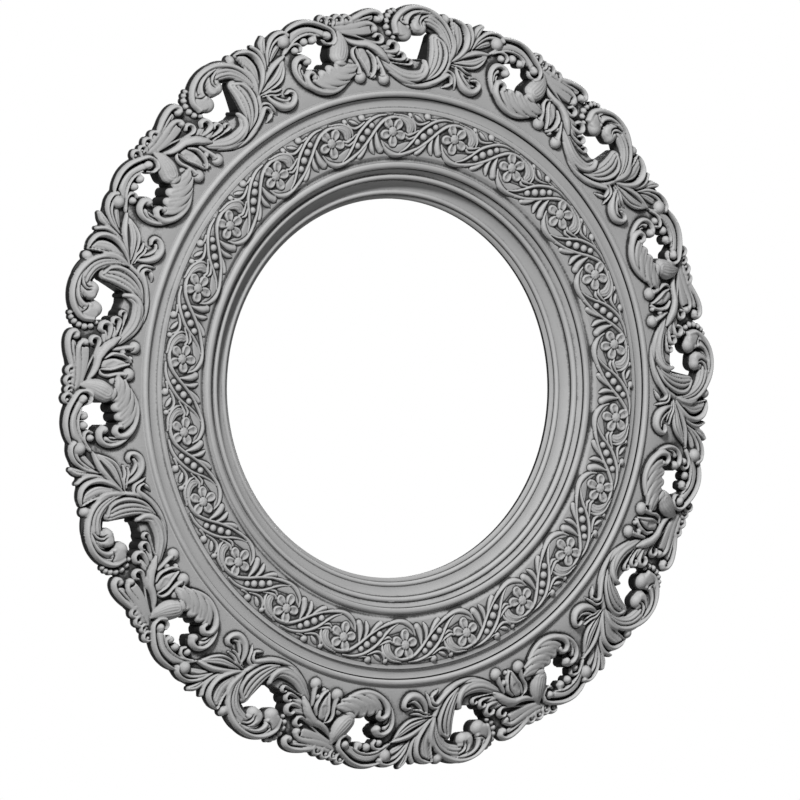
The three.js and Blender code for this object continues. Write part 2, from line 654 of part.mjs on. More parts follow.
// The hanger's strap: its side outline, with x as the distance behind the back plane, drawn out to its width.
function hangerStrap() {
  const inner = JOINT_GAP;
  const outer = JOINT_GAP + STRAP_THICKNESS;
  const foot = eyeOuter - STRAP_LENGTH;
  const side = new THREE.Shape();
  side.moveTo(inner, foot);
  side.lineTo(inner, 0);
  side.absarc(eyeBehind, 0, eyeOuter, Math.PI, -Math.PI / 2, true);
  side.lineTo(outer, -eyeOuter);
  side.lineTo(outer, foot);
  const bore = new THREE.Path();
  bore.absarc(eyeBehind, 0, outsideRadius(eyeBore, 360 / EYE_SIDES), 0, 2 * Math.PI, false);
  side.holes.push(bore);
  const plate = extrude(side, -STRAP_WIDTH / 2, STRAP_WIDTH / 2, EYE_SIDES / 2).rotateY(Math.PI / 2);
  let strap = toSolid(plate);
  for (const drop of [STRAP_SCREW_FIRST, STRAP_SCREW_FIRST + STRAP_SCREW_PITCH]) {
    strap = strap.subtract(screwHole(new THREE.Vector2(0, -drop), PIVOT_CLEARANCE));
  }
  return strap;
}

// The D-shaped ring of bent wire, hanging from its straight bar, whose middle is the drawing's origin.
function hangerRing() {
  const reach = RING_INNER_WIDTH / 2 + wire;
  const line = [new THREE.Vector2(-reach, 0)];
  for (let i = 0; i <= 6; i += 1) {
    const turn = Math.PI + (i * Math.PI) / 6;
    line.push(new THREE.Vector2(reach * Math.cos(turn), reach * Math.sin(turn) - RING_LEG));
  }
  line.push(new THREE.Vector2(reach, 0));
  const points = [];
  for (const [i, spot] of line.entries()) {
    const back = line[(i + line.length - 1) % line.length].clone().sub(spot).normalize();
    const ahead = line[(i + 1) % line.length].clone().sub(spot).normalize();
    const mitre = back.clone().add(ahead).normalize();
    const stretch = 1 / Math.abs(mitre.cross(ahead));
    for (let j = 0; j < WIRE_SIDES; j += 1) {
      const turn = (j * 2 * Math.PI) / WIRE_SIDES;
      const out = mitre.clone().multiplyScalar(-wire * stretch * Math.cos(turn)).add(spot);
      points.push(new THREE.Vector3(out.x, out.y, wire * Math.sin(turn)));
    }
  }
  const faces = [];
  for (let i = 0; i < line.length; i += 1) {
    for (let j = 0; j < WIRE_SIDES; j += 1) {
      const here = i * WIRE_SIDES + j;
      const beside = i * WIRE_SIDES + ((j + 1) % WIRE_SIDES);
      const next = ((i + 1) % line.length) * WIRE_SIDES;
      faces.push(here, next + j, beside, next + j, next + ((j + 1) % WIRE_SIDES), beside);
    }
  }
  const geometry = new THREE.BufferGeometry().setFromPoints(points);
  geometry.setIndex(faces);
  return toSolid(geometry);
}

function pad() {
  const radius = PAD_DIAMETER / 2;
  const disc = new THREE.CylinderGeometry(radius, radius, PAD_THICKNESS, PAD_SIDES).rotateX(Math.PI / 2);
  return toSolid(disc.translate(0, 0, -JOINT_GAP - PAD_THICKNESS / 2));
}

const frame = new THREE.Group();

// Adds a piece, turned clockwise by some degrees about the origin of its drawing and set at a place.
function addPiece(name, solid, material, degrees = 0, place = new THREE.Vector3()) {
  const mesh = new THREE.Mesh(toGeometry(solid), material());
  mesh.name = name;
  mesh.position.copy(place);
  mesh.rotation.z = -radians(degrees);
  frame.add(mesh);
}

function placeAt(degrees, radius, height = 0) {
  const spot = onFace(degrees, radius);
  return new THREE.Vector3(spot.x, spot.y, height);
}

const screwSpots = BUTTON_ANGLES.map((degrees) => onFace(degrees, buttonRadius));
addPiece('sight_ring', drilled(sightRing(), screwSpots), materials.paintedMoulding);
addPiece('rebate_ring', drilled(rebateRing(), screwSpots), materials.bareWood);
addPiece('inner_moulding', innerMoulding(), materials.paintedMoulding);
addPiece('outer_moulding', outerMoulding(), materials.paintedMoulding);

const panel = friezePanel();
for (let i = 0; i < FRIEZE_PANELS; i += 1) {
  const middle = FRIEZE_FIRST_FLOWER + (i + 0.5 - 0.5 / FLOWERS_PER_PANEL) * panelAngle;
  addPiece(`frieze_panel_${i + 1}`, panel, materials.paintedWood, middle);
}

const section = borderSection();
for (let i = 0; i < BORDER_SECTIONS; i += 1) {
  const bead = BORDER_FIRST_BEAD + i * sectionAngle;
  addPiece(`border_section_${i + 1}`, section, materials.paintedWood, bead);
}

// Sides are named as seen from the front, where +X is to the right
const hangers = [
  { side: 'left', degrees: -HANGER_ANGLE },
  { side: 'right', degrees: HANGER_ANGLE },
];
const strapDrops = [STRAP_SCREW_FIRST, STRAP_SCREW_FIRST + STRAP_SCREW_PITCH];
const strapScrews = [];
for (const { degrees } of hangers) {
  const top = onFace(degrees, HANGER_RADIUS);
  for (const drop of strapDrops) strapScrews.push(new THREE.Vector2(top.x, top.y - drop));
}

for (let i = 0; i < CORE_SEGMENTS; i += 1) {
  const middle = i * coreAngle;
  const own = strapScrews.map((spot) => spot.clone().rotateAround(new THREE.Vector2(), radians(middle)));
  addPiece(`core_segment_${i + 1}`, drilled(coreSegment(), own), materials.bareWood, middle);
  addPiece(`core_key_${i + 1}`, toSolid(coreKey(0)), materials.hardwood, middle + coreAngle / 2);
}

for (const [i, degrees] of BUTTON_ANGLES.entries()) {
  const spot = placeAt(degrees, buttonRadius);
  addPiece(`turn_button_${i + 1}`, turnButton(), materials.brass, degrees, spot);
  addPiece(`pivot_screw_${i + 1}`, screw(BUTTON_THICKNESS), materials.brass, degrees, spot);
}

for (const { side, degrees } of hangers) {
  const spot = placeAt(degrees, HANGER_RADIUS);
  addPiece(`hanger_strap_${side}`, hangerStrap(), materials.steel, 0, spot);
  addPiece(`hanger_ring_${side}`, hangerRing(), materials.steel, 0, spot.clone().setZ(-eyeBehind));
  for (const [i, drop] of strapDrops.entries()) {
    const place = spot.clone().add(new THREE.Vector3(0, -drop, 0));
    addPiece(`hanger_screw_${side}_${i + 1}`, screw(STRAP_THICKNESS), materials.steel, 0, place);
  }
}

for (const [side, degrees] of [['left', -PAD_ANGLE], ['right', PAD_ANGLE]]) {
  addPiece(`wall_pad_${side}`, pad(), materials.felt, 0, placeAt(degrees, PAD_RADIUS));
}

frame.rotation.x = Math.PI / 2;
export default frame;
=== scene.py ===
"""A round mirror frame: its carved border and frieze, turned mouldings, core and fittings, dressed.

Lengths are in metres in the part's own frame: the front faces -Y, +X is to the right and +Z is up.
The carving is drawn in the carver's own steps, as (across, out) points from the frame's centre with the
ornament's middle straight up, and its heights count from the back plane.
"""

import json
import logging
import math
from dataclasses import dataclass, field, replace
from enum import Enum, auto
from typing import Any

import bmesh
import bpy
import numpy as np
from bpy.types import ID, Material, Mesh, Node, NodeSocket, NodeTree, Object, World
from mathutils import Matrix, Vector
from mathutils.geometry import delaunay_2d_cdt

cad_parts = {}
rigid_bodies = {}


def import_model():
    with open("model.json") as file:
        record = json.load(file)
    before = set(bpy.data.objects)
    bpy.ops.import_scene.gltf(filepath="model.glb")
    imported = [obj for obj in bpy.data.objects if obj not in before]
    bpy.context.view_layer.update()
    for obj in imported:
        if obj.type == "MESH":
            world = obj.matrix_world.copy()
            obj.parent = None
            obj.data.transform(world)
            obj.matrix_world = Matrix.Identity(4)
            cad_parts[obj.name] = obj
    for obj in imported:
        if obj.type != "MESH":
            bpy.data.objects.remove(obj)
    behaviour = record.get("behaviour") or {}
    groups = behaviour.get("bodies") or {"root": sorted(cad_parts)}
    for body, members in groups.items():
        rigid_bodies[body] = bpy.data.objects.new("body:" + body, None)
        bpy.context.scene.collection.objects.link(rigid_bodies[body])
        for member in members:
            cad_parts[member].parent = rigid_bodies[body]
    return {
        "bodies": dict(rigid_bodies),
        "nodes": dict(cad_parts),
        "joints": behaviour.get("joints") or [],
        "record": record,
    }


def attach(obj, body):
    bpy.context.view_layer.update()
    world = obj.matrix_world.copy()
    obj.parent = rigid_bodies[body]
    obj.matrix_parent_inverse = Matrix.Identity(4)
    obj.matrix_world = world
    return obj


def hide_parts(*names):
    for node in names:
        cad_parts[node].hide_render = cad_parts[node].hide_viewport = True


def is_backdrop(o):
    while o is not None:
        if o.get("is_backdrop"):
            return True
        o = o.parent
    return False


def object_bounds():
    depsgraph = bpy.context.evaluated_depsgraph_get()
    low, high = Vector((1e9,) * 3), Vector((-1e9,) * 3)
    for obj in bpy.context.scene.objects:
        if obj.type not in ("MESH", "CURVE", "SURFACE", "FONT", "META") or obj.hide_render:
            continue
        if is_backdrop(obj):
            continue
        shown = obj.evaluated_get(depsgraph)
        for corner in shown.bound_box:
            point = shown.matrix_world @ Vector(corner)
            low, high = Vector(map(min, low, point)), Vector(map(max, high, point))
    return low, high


log = logging.getLogger("mirror_frame")

# Metres in a carving step and in a millimetre, the play between sections, and how near corners are merged
STEP = 0.00118
MM = 0.001
JOINT = 0.000004
MERGE = 1e-6
# Degrees between faces from which an edge is rounded, or stays sharp on plain work and on carved work
ARRIS_ANGLE = 30
EDGE_ANGLE = 32
CREASE_ANGLE = 58
# The painted shade at the back edge of a carved wall: dark inside the plate, almost none beyond its open rim
WALL_FOOT_SHADE = 0.1
RIM_SHADE = 0.47
# A distance beyond all others
FAR = 1e9

Array = np.ndarray
Pair = tuple[float, float]
Triple = tuple[float, float, float]
Line = list[Pair]


class Cut(Enum):
    """Whether a stroke stands with its edge set in, grows out of what is there or takes wood away."""

    RAISE = auto()
    JOIN = auto()
    CARVE = auto()


class Member(Enum):
    """How a moulding's profile runs to its next corner."""

    FILLET = auto()
    BEAD = auto()
    COVE = auto()


@dataclass(frozen=True)
class Stroke:
    """One pull of the gouge along a smooth line, in steps.

    line holds the points that its middle passes, widths its half widths and heights its rise over the
    ground, or its depth where it carves, each from its start to its end. flutes channels of the given
    depth run along it, lean makes one side stand higher, and edge and power shape its cross-section.
    """

    line: tuple[Pair, ...]
    widths: tuple[float, ...]
    heights: tuple[float, ...]
    flutes: int = 0
    depth: float = 0.0
    lean: float = 0.0
    edge: float = 2.0
    power: float = 0.62
    cut: Cut = Cut.RAISE

    # How far round a stroke its outline is set in, its least half width, and how full its flutes are
    REACH = 4
    LEAST = 0.05
    FULLNESS = 0.4

    def turned(self, degrees: float) -> "Stroke":
        """The same stroke some degrees further clockwise round the frame."""
        return replace(self, line=turned_points(self.line, degrees))

    def path(self) -> Array:
        """The smooth line with its half width and height, as rows of four numbers.

        Returns:
            Rows of (across, out, half width, height).
        """
        count = len(self.line)
        ends = np.linspace(0, 1, count)
        rows = [np.interp(ends, np.linspace(0, 1, len(v)), v) for v in (self.widths, self.heights)]
        return smooth_line(np.column_stack([np.array(self.line, float), *rows]))

    def near(self, x: Array, y: Array) -> Array:
        """Which points lie close enough for the stroke to touch them.

        Args:
            x, y: the points.

        Returns:
            True for each near point.
        """
        reach = max(self.widths) + self.REACH
        across = [p[0] for p in self.line]
        out = [p[1] for p in self.line]
        beside = (x > min(across) - reach) & (x < max(across) + reach)
        return beside & (y > min(out) - reach) & (y < max(out) + reach)

    def measure(self, x: Array, y: Array) -> tuple[Array, ...]:
        """Finds where points lie in the stroke.

        Args:
            x, y: the points.

        Returns:
            Their share of the half width from the middle line, their side of it, and the stroke's
            height and half width there.
        """
        path = self.path()
        if len(path) == 1:
            path = np.vstack([path, path + [1e-4, 0, 0, 0]])
        share = np.full(x.shape, FAR)
        side, high, half = np.zeros(x.shape), np.zeros(x.shape), np.ones(x.shape)
        for (ax, ay, aw, ah), (bx, by, bw, bh) in zip(path[:-1], path[1:]):
            dx, dy = bx - ax, by - ay
            along = np.clip(((x - ax) * dx + (y - ay) * dy) / (dx * dx + dy * dy + 1e-12), 0, 1)
            gap_x, gap_y = x - ax - along * dx, y - ay - along * dy
            width = np.maximum(aw + (bw - aw) * along, self.LEAST)
            here = np.hypot(gap_x, gap_y) / width
            closer = here < share
            share = np.where(closer, here, share)
            side = np.where(closer, np.sign(dx * gap_y - dy * gap_x), side)
            high = np.where(closer, ah + (bh - ah) * along, high)
            half = np.where(closer, width, half)
        return share, side, high, half

    def section(self, share: Array, side: Array) -> Array:
        """The cross-section's height at points given by their share of the half width and side.

        Args:
            share: how far out of the half width.
            side: 1 or -1.

        Returns:
            The share of the stroke's height.
        """
        place = share * side
        top = np.clip(1 - share**self.edge, 0, 1) ** self.power * (1 + self.lean * place)
        if self.flutes:
            wave = np.abs(np.sin(0.5 * np.pi * self.flutes * (place + 1))) ** self.FULLNESS
            top = top * (1 - self.depth * (1 - wave))
        return top


def smooth_line(points: Array, per_span: int = 10) -> Array:
    """Rows of numbers with smooth rows put in between them.

    Args:
        points: the rows to pass through.
        per_span: how many rows each span between two of them becomes.

    Returns:
        The longer array.
    """
    if len(points) < 2:
        return points
    ends = np.vstack([2 * points[0] - points[1], points, 2 * points[-1] - points[-2]])
    t = np.linspace(0, 1, per_span, endpoint=False)[:, None]
    spans = []
    for a, b, c, d in zip(ends[:-3], ends[1:-2], ends[2:-1], ends[3:]):
        bend = (2 * a - 5 * b + 4 * c - d) * t**2 + (3 * b - a - 3 * c + d) * t**3
        spans.append(0.5 * (2 * b + (c - a) * t + bend))
    return np.vstack([*spans, points[-1:]])


def ball(x: float, y: float, radius: float, height: float) -> Stroke:
    """A carved ball that stands half out of its ground."""
    return Stroke(((x, y),), (radius,), (height,), power=0.5)


def balls(*rows: tuple[float, float, float, float]) -> list[Stroke]:
    """Several balls, each given by its place, radius and height."""
    return [ball(*row) for row in rows]


def knob(x: float, y: float, radius: float, height: float) -> Stroke:
    """A round end that its strand swells into."""
    return Stroke(((x, y),), (radius,), (height,), power=0.5, cut=Cut.JOIN)


def eye(x: float, y: float, radius: float, depth: float) -> Stroke:
    """A small drilled hollow."""
    return Stroke(((x, y),), (radius,), (depth,), cut=Cut.CARVE)


def groove(line: tuple, widths: tuple, depths: tuple) -> Stroke:
    """A channel cut along a line."""
    return Stroke(line, widths, depths, cut=Cut.CARVE)


def rim_curl(x: float, y: float, size: float) -> tuple:
    """A small C-shaped hook that stands on the border's rim.

    Args:
        x, y: its middle.
        size: its size over the plain one.

    Returns:
        Its strokes.
    """
    around = ((-5.4, -4), (-4.9, 0.4), (-1.5, 3.3), (2.8, 2.2), (4.6, -1.6), (3.4, -6))
    line = tuple((x + size * a, y + size * b) for a, b in around)
    widths = tuple(size * w for w in (1.3, 1.8, 2.1, 2.3, 2.4, 2))
    return (
        Stroke(line, widths, (4.4, 5.6, 6, 6.2, 6, 4.6)),
        knob(x - 2 * size, y - 1.1 * size, 2.2 * size, 5.4),
        eye(x + 1.1 * size, y - 0.5 * size, 1.4 * size, 5),
    )


def hook(x: float, y: float, size: float, height: float, *tail: tuple) -> tuple:
    """A strand that comes along its tail from the left, rises and curls back over its dark eye.

    Args:
        x, y: the middle of its curl.
        size: its reach round the middle.
        height: its rise.
        tail: the points that it comes along.

    Returns:
        Its strokes.
    """
    curl = ((-0.3, -0.9), (0.56, -0.56), (0.74, 0.12), (0.3, 0.66), (-0.42, 0.62), (-0.72, 0.14))
    line = (*tail, *((x + size * a, y + size * b) for a, b in curl))
    widths = (*(0.26 * size for _ in tail), *(size * w for w in (0.38, 0.4, 0.4, 0.37, 0.33, 0.28)))
    heights = (*(0.55 * height for _ in tail), *(height * h for h in (0.8, 0.92, 1, 1, 0.96, 0.86)))
    return Stroke(line, widths, heights), eye(x - 0.04 * size, y + 0.02 * size, 0.36 * size, 0.8 * height)


def drop(line: tuple, widths: tuple, heights: tuple, radius: float) -> tuple:
    """A stem that ends in a round ball with a small cut where its tip turns in.

    Args:
        line, widths, heights: the stem's.
        radius: the ball's.

    Returns:
        Its strokes.
    """
    x, y = line[-1]
    cut = tuple((x - a * radius, y + b * radius) for a, b in ((0.95, 0.5), (0.6, 0.25), (0.2, 0.36)))
    return (
        Stroke(line, widths, heights),
        knob(x, y, radius, heights[-1]),
        groove(cut, (0.7, 0.9, 0.6), (2.4, 3, 2)),
    )


def petal(x: float, y: float, across: float, out: float) -> tuple:
    """A broad cupped petal that reaches from the flower's middle by (across, out).

    Args:
        x, y: the flower's middle.
        across, out: its reach.

    Returns:
        Its strokes.
    """
    line = tuple((x + far * across, y + far * out) for far in (0.5, 0.95, 1.12))
    cup = tuple((x + far * across, y + far * out) for far in (0.62, 1.12))
    return (
        Stroke(line, (2.8, 4.9, 4.7), (2.6, 3.3, 3.3), edge=5, power=0.5),
        groove(cup, (2.4, 3.5), (1.2, 1.9)),
    )


BORDER_STROKES = (
    # lower leaf and the rib under it
    Stroke(((-66, 309), (-48, 302.5), (-32, 302), (-16, 307), (-4, 317), (3, 331)), (1, 2.4, 3, 3.4, 4, 3),
        (1.4, 2.6, 3.4, 4, 5, 5)),
    Stroke(((-80, 322), (-66, 315), (-52, 309.5), (-38, 309.5), (-28, 315), (-25, 327)),
        (2, 5.4, 7.2, 7.4, 5.6, 2.6), (2, 4.6, 6, 6.4, 6.6, 5.6), flutes=3, depth=0.3, lean=0.12),
    Stroke(((-50, 306), (-36, 307), (-27.5, 313), (-24, 321), (-26, 328)), (1, 2, 3, 3.2, 2.2),
        (3.5, 5.6, 7, 7.4, 6.4)),
    # half leaf with nested ribs
    Stroke(((-27, 308), (-19, 316), (-12.5, 328), (-10, 341), (-11.5, 352)), (1.5, 5.4, 8.8, 9.6, 7.4),
        (2, 5, 6.4, 7, 6.4), flutes=4, depth=0.42, edge=3.5),
    Stroke(((-26, 307.5), (-12, 316.5), (-3.6, 329), (-1.2, 341), (-4.6, 350.5), (-13, 355.5)),
        (1, 2, 2.6, 2.6, 2.3, 1.4), (2, 5.6, 7.4, 8, 7.6, 6.6)),
    # arching leaf: its body, the lip outside, then tongues and bulbs
    Stroke(((4, 330), (4.5, 345), (0, 359), (-9, 369), (-21, 373.5), (-31, 373)),
        (1.6, 5.2, 8.2, 9.4, 10, 9), (4, 7, 8.2, 8.6, 8.6, 8), flutes=5, depth=0.26, edge=3.5, lean=0.06),
    Stroke(((-22, 375), (-36, 375), (-48, 370.5), (-55.5, 362), (-56, 354)), (6.5, 7.4, 8, 7.6, 6),
        (7.4, 8, 8.4, 8.4, 8), edge=3),
    Stroke(((5, 338), (6.2, 350), (3.5, 362), (-5.5, 372.5), (-20, 380), (-34, 381.5), (-47, 378),
        (-57, 370.5), (-62, 361), (-60.5, 351)), (1, 1.8, 2.4, 2.6, 2.7, 2.7, 2.8, 3, 3.2, 3),
        (4, 7.6, 9, 9.4, 9.6, 9.6, 9.6, 9.6, 9.6, 9)),
    Stroke(((-22, 377.5), (-33, 377), (-43, 372.5), (-48.5, 365.5), (-47.5, 359)), (0.8, 2.4, 3, 3.2, 2.6),
        (8.4, 9.6, 10, 10, 9.4)),
    Stroke(((-53, 355.5), (-49.5, 352.8)), (9.6, 9.4), (9.6, 9.6), power=0.5),
    Stroke(((-25, 373), (-33, 370.5), (-37.5, 366), (-37, 361.5)), (1.5, 4, 4.6, 4.6), (8.6, 9.4, 9.6, 9.6)),
    Stroke(((-36, 361.5), (-31, 361.2)), (8.2, 8.2), (9.6, 9.6), power=0.5),
    groove(((-32, 379), (-43, 377), (-51.5, 370), (-54, 363.5)), (0.5, 0.9, 1, 0.7), (1.6, 3, 3, 2)),
    groove(((-34, 376), (-42, 371.5), (-45.6, 365), (-43.6, 359)), (0.6, 1.3, 1.7, 1.2), (2, 4, 5, 4)),
    groove(((-24.5, 376.5), (-31.5, 373), (-34.5, 367.5), (-33, 362.5)), (0.6, 1.1, 1.2, 0.8),
        (2, 4, 4, 2.6)),
    groove(((-23.5, 373.5), (-28.5, 370.5), (-30.8, 366), (-29.8, 362.5)), (0.5, 1, 1.1, 0.8),
        (2, 3.6, 3.6, 2.4)),
    groove(((-46, 361), (-52, 360.5), (-57, 363.5)), (0.6, 1, 0.8), (2, 3.4, 2.4)),
    # pearls and the bead
    *balls((-60.9, 373, 2.8, 4.4), (-64.8, 370.5, 3, 4.8), (-67.6, 366.2, 3.4, 5.2),
        (-69.2, 360.8, 3.5, 5.4), (-69, 354.8, 3.6, 5.6), (-66.4, 349.3, 3.4, 5.4),
        (-61.3, 345.6, 2.8, 5), (-1, 375.2, 5.6, 7.6)),
    # small leaf against the arch's foot and the fan leaves beside it
    Stroke(((3, 333), (7, 342), (9, 351), (7, 359), (2.4, 363.6)), (1, 3, 3.6, 3.2, 1.6),
        (4, 7.4, 8.6, 8.6, 7.6)),
    Stroke(((6, 333), (11, 346), (14, 358), (12, 371.6)), (1, 4.6, 7, 5.6), (3, 5.4, 6, 5.6), flutes=3,
        depth=0.2, edge=4),
    Stroke(((4.6, 332), (8.6, 347), (8.2, 362), (5.8, 377)), (0.6, 1.1, 1.4, 1.2), (3, 5.6, 7, 6.6)),
    Stroke(((8, 333.4), (22, 344.6), (30, 356), (31.8, 366), (28.6, 374.4)), (0.8, 2, 3, 3.2, 2.2),
        (3, 5.4, 6.6, 6.8, 6)),
    Stroke(((6, 333), (16, 342), (23.6, 352), (25.6, 363), (22, 371.6), (14.4, 376.4), (7.4, 377.6)),
        (0.8, 2.6, 3.3, 3.5, 3, 2.2, 1), (3, 7, 9, 9.6, 9, 7.6, 6.4)),
    groove(((14, 345), (19.6, 354), (21.2, 363), (17.2, 371), (9.4, 375.4)), (0.6, 1.1, 1.4, 1.3, 0.8),
        (2, 4, 5, 4.6, 3)),
    Stroke(((31, 351), (35, 361), (39, 370.4), (44, 376)), (1, 3.8, 4.6, 2.8), (3.5, 5.4, 6.4, 5.4),
        flutes=2, depth=0.45),
    # leaf scroll with its volute
    Stroke(((37, 353), (44, 358), (52, 361)), (2, 4.4, 4), (3, 4.4, 4.4), flutes=3, depth=0.4),
    Stroke(((31, 350), (39, 360), (47, 366.4), (56, 368.6), (62, 366.6)), (1, 3, 4, 4, 3.4),
        (4, 5.6, 6.4, 6.6, 6.2), flutes=2, depth=0.3, edge=3),
    Stroke(((32, 351), (39, 362.2), (48, 369.6), (57.4, 372.2), (65.4, 370.4), (68.6, 366)),
        (0.8, 1.8, 2.3, 2.4, 2.7, 3.4), (4, 6.4, 7.6, 8.2, 8.8, 9)),
    knob(61.8, 362.8, 7.6, 9.8),
    groove(((43, 363.8), (51, 368.9), (58.6, 370.1), (65, 368.6)), (0.6, 1.1, 1.2, 0.7), (2, 4.4, 5.4, 3)),
    # bellflower and the leaflets under it
    Stroke(((6, 331), (16, 330), (23, 326.6), (31, 325.4)), (0.8, 1.7, 1.7, 0.8), (3, 4.8, 4.8, 3)),
    Stroke(((8, 329), (16, 326.4), (22, 322.8), (27.6, 321.4)), (0.8, 1.4, 1.4, 0.7), (3, 4.2, 4.2, 2.6)),
    Stroke(((10, 333), (22, 335.6), (33, 338.6), (42, 343), (51, 348.4)), (0.8, 3.4, 5, 3.8, 1.2),
        (2.8, 5.2, 6.2, 5.8, 4.4), edge=3, flutes=2, depth=0.25),
    Stroke(((12, 331.6), (24, 331), (34, 332.6), (42, 337.6), (49.4, 345.4)), (0.6, 1.6, 2, 1.8, 0.9),
        (2.6, 4.8, 6, 5.8, 4.4)),
    Stroke(((9, 334), (22, 342), (33, 347), (43, 349), (54, 350)), (0.8, 2.8, 3.8, 3, 1),
        (2.8, 5.8, 7, 6.4, 4.8)),
    groove(((22, 337.8), (32, 341.4), (43, 346)), (0.6, 1, 0.6), (2, 3.4, 2)),
    # ribbed band and its volute
    Stroke(((55, 351.4), (66, 357.4), (78, 361.6), (89, 360.4), (98, 355), (104.6, 347.6)),
        (1.2, 3.8, 5.2, 5.4, 5, 4), (4, 5.4, 6.2, 6.6, 7, 7.2), edge=3.4),
    Stroke(((60, 353.6), (72, 357), (84, 356.8), (93, 353.2), (99.6, 347.4)), (0.6, 1.3, 1.5, 1.5, 1),
        (5, 7.2, 7.8, 7.8, 7)),
    Stroke(((68, 369), (79, 369.8), (90.5, 368), (101, 362.4), (109.6, 354), (115.4, 345.4), (114, 338),
        (107.8, 334.8), (102.4, 337.4), (101.2, 341.6)),
        (1.4, 2.5, 2.7, 2.9, 2.9, 2.7, 2.4, 2.1, 1.7, 1.1), (6, 7.6, 8.4, 9, 9.6, 9.6, 9.2, 8.6, 7.8, 7)),
    ball(108, 343.6, 5, 10.4),
    groove(((73, 365.8), (85, 365.2), (95, 361.6), (103.2, 355), (108.4, 350)), (0.6, 1.3, 1.5, 1.5, 0.9),
        (2, 4.6, 5.6, 5.6, 3.6)),
    # curls under the band
    Stroke(((57, 351), (65.6, 354.6), (72.6, 353.6), (75.4, 349.2), (72.4, 345.4)), (1, 1.8, 2.1, 2.1, 1.8),
        (4, 6, 6.8, 6.8, 6.2)),
    *balls((68, 348.4, 4.1, 7.6), (82, 350.8, 4.8, 8)),
    Stroke(((84, 355.6), (90, 354.6), (94.6, 350.4), (92.8, 346.2)), (1, 1.9, 2.5, 3), (5, 6.4, 7.2, 7.8)),
    knob(91, 347.6, 4.4, 8),
    eye(87, 350.8, 1.5, 5),
    # scroll round the small opening
    Stroke(((63, 308), (58.6, 317), (58, 327), (62, 334.6)), (2, 4, 4.4, 3), (4, 4.8, 5.2, 5.6), edge=3),
    Stroke(((63, 305), (57, 313), (53.6, 323), (54.2, 332), (58.4, 338.2), (64.6, 340.6), (70.6, 338.8),
        (73.2, 334.4)), (1.4, 2.4, 2.5, 2.6, 3, 3.3, 3.6, 4), (3, 5.2, 6.4, 7.4, 8.4, 9, 9.4, 9.4)),
    knob(71.8, 334.2, 4.6, 9.6),
    groove(((58, 318), (58, 325), (60.4, 330.4), (65.4, 332)), (0.6, 1, 1.3, 0.9), (2, 3.6, 4.6, 3.6)),
    # horn of overlapping lobes that ends in a great drop
    Stroke(((66, 312), (76, 303), (88, 300), (102, 303), (113, 308)), (4, 7.4, 9, 8.4, 6),
        (3, 4.6, 5, 4.8, 4), edge=4),
    Stroke(((70, 315), (73.4, 307.6), (80, 301.4), (90, 296.4)), (5, 5.4, 4.6, 2.4), (6, 6.8, 6.6, 5),
        edge=4, power=0.45, flutes=2, depth=0.12),
    Stroke(((79, 314.6), (84, 306.4), (91.6, 300.4), (101, 296.6)), (5.4, 6, 5, 2.6), (6.6, 7.4, 7, 5.2),
        edge=4, power=0.45, flutes=2, depth=0.12),
    Stroke(((89, 314.4), (94.4, 307), (102, 301.4), (111, 299)), (5.6, 6, 5, 2.8), (7.2, 8, 7.4, 5.4),
        edge=4, power=0.45, flutes=2, depth=0.12),
    Stroke(((99, 313.6), (105, 308), (111.4, 304.4), (117, 303.6)), (5.2, 5.6, 4.6, 2.6),
        (7.6, 8.2, 7.6, 5.6), edge=4, power=0.45, flutes=2, depth=0.12),
    # the horn's outline, which ends in a volute under its first lobe
    Stroke(((112, 300.6), (98, 295.4), (84, 294.2), (73, 298), (64.6, 305), (59.8, 313.4), (60.6, 321),
        (65.8, 324.2), (70, 321.4), (69.4, 317.4)), (1, 2.2, 2.9, 3.4, 3.7, 3.6, 3.4, 3.2, 2.8, 2.2),
        (4, 5, 6, 6.8, 7.6, 8.2, 8.6, 8.6, 8, 7)),
    eye(65.4, 316.6, 1.5, 6),
    Stroke(((121.8, 340), (118.2, 332.6), (112, 325.8), (106.4, 321)), (2.4, 7.2, 10.6, 10),
        (5, 9.4, 11.4, 11), flutes=7, depth=0.1, edge=2.3, power=0.5),
    # hooked curl below the bellflower
    Stroke(((17, 326), (22, 318), (28, 313), (33.6, 313.4)), (1, 2.2, 2.2, 1.4), (3, 4.6, 4.8, 4)),
    Stroke(((12, 329), (15, 318.4), (21.6, 310), (30.4, 307.2), (37.2, 310.4), (39.8, 316), (36.6, 319.4),
        (32, 319)), (1.2, 3.6, 4.8, 4.6, 3.6, 2.6, 2, 1.2), (3, 5.8, 6.8, 6.8, 6.6, 6.2, 5.8, 4.8)),
    groove(((30.6, 316.8), (34.4, 316.6), (37, 314.4)), (0.8, 1.2, 0.8), (3, 5, 3)),
    # lower small curls
    Stroke(((-6, 321), (2, 323.6), (8.4, 320.6), (10.4, 313), (11.8, 306)), (0.8, 1.6, 2, 1.9, 0.5),
        (3, 5, 5.6, 5, 1.6)),
    Stroke(((8, 312), (3, 308.6), (-3, 305.4)), (1, 2.1, 0.5), (3.6, 4.8, 1.6)),
    Stroke(((-26, 305), (-14, 309), (-4, 315.2), (2, 319.2), (6, 316.6), (6.8, 311.4)),
        (1, 2.4, 2.8, 2.4, 2.1, 1.4), (2.6, 4.8, 6, 6.4, 6, 4.8)),
    eye(2.6, 315.4, 1.3, 3.4),
    # long scroll at the rim with its broad fluted band
    Stroke(((-143, 343.6), (-127, 346), (-113, 350), (-101, 356), (-90, 361)), (1.4, 4.4, 6, 6.6, 5),
        (3, 4.6, 5.4, 5.8, 5.6), flutes=3, depth=0.34, edge=3),
    Stroke(((-135, 345.8), (-122, 348.6), (-110, 354.6), (-99, 362.2), (-89, 366.8), (-81, 367.2),
        (-77, 363.6), (-78.4, 360.4)), (1, 2.2, 2.8, 3.2, 3.2, 3.1, 3.3, 3.6),
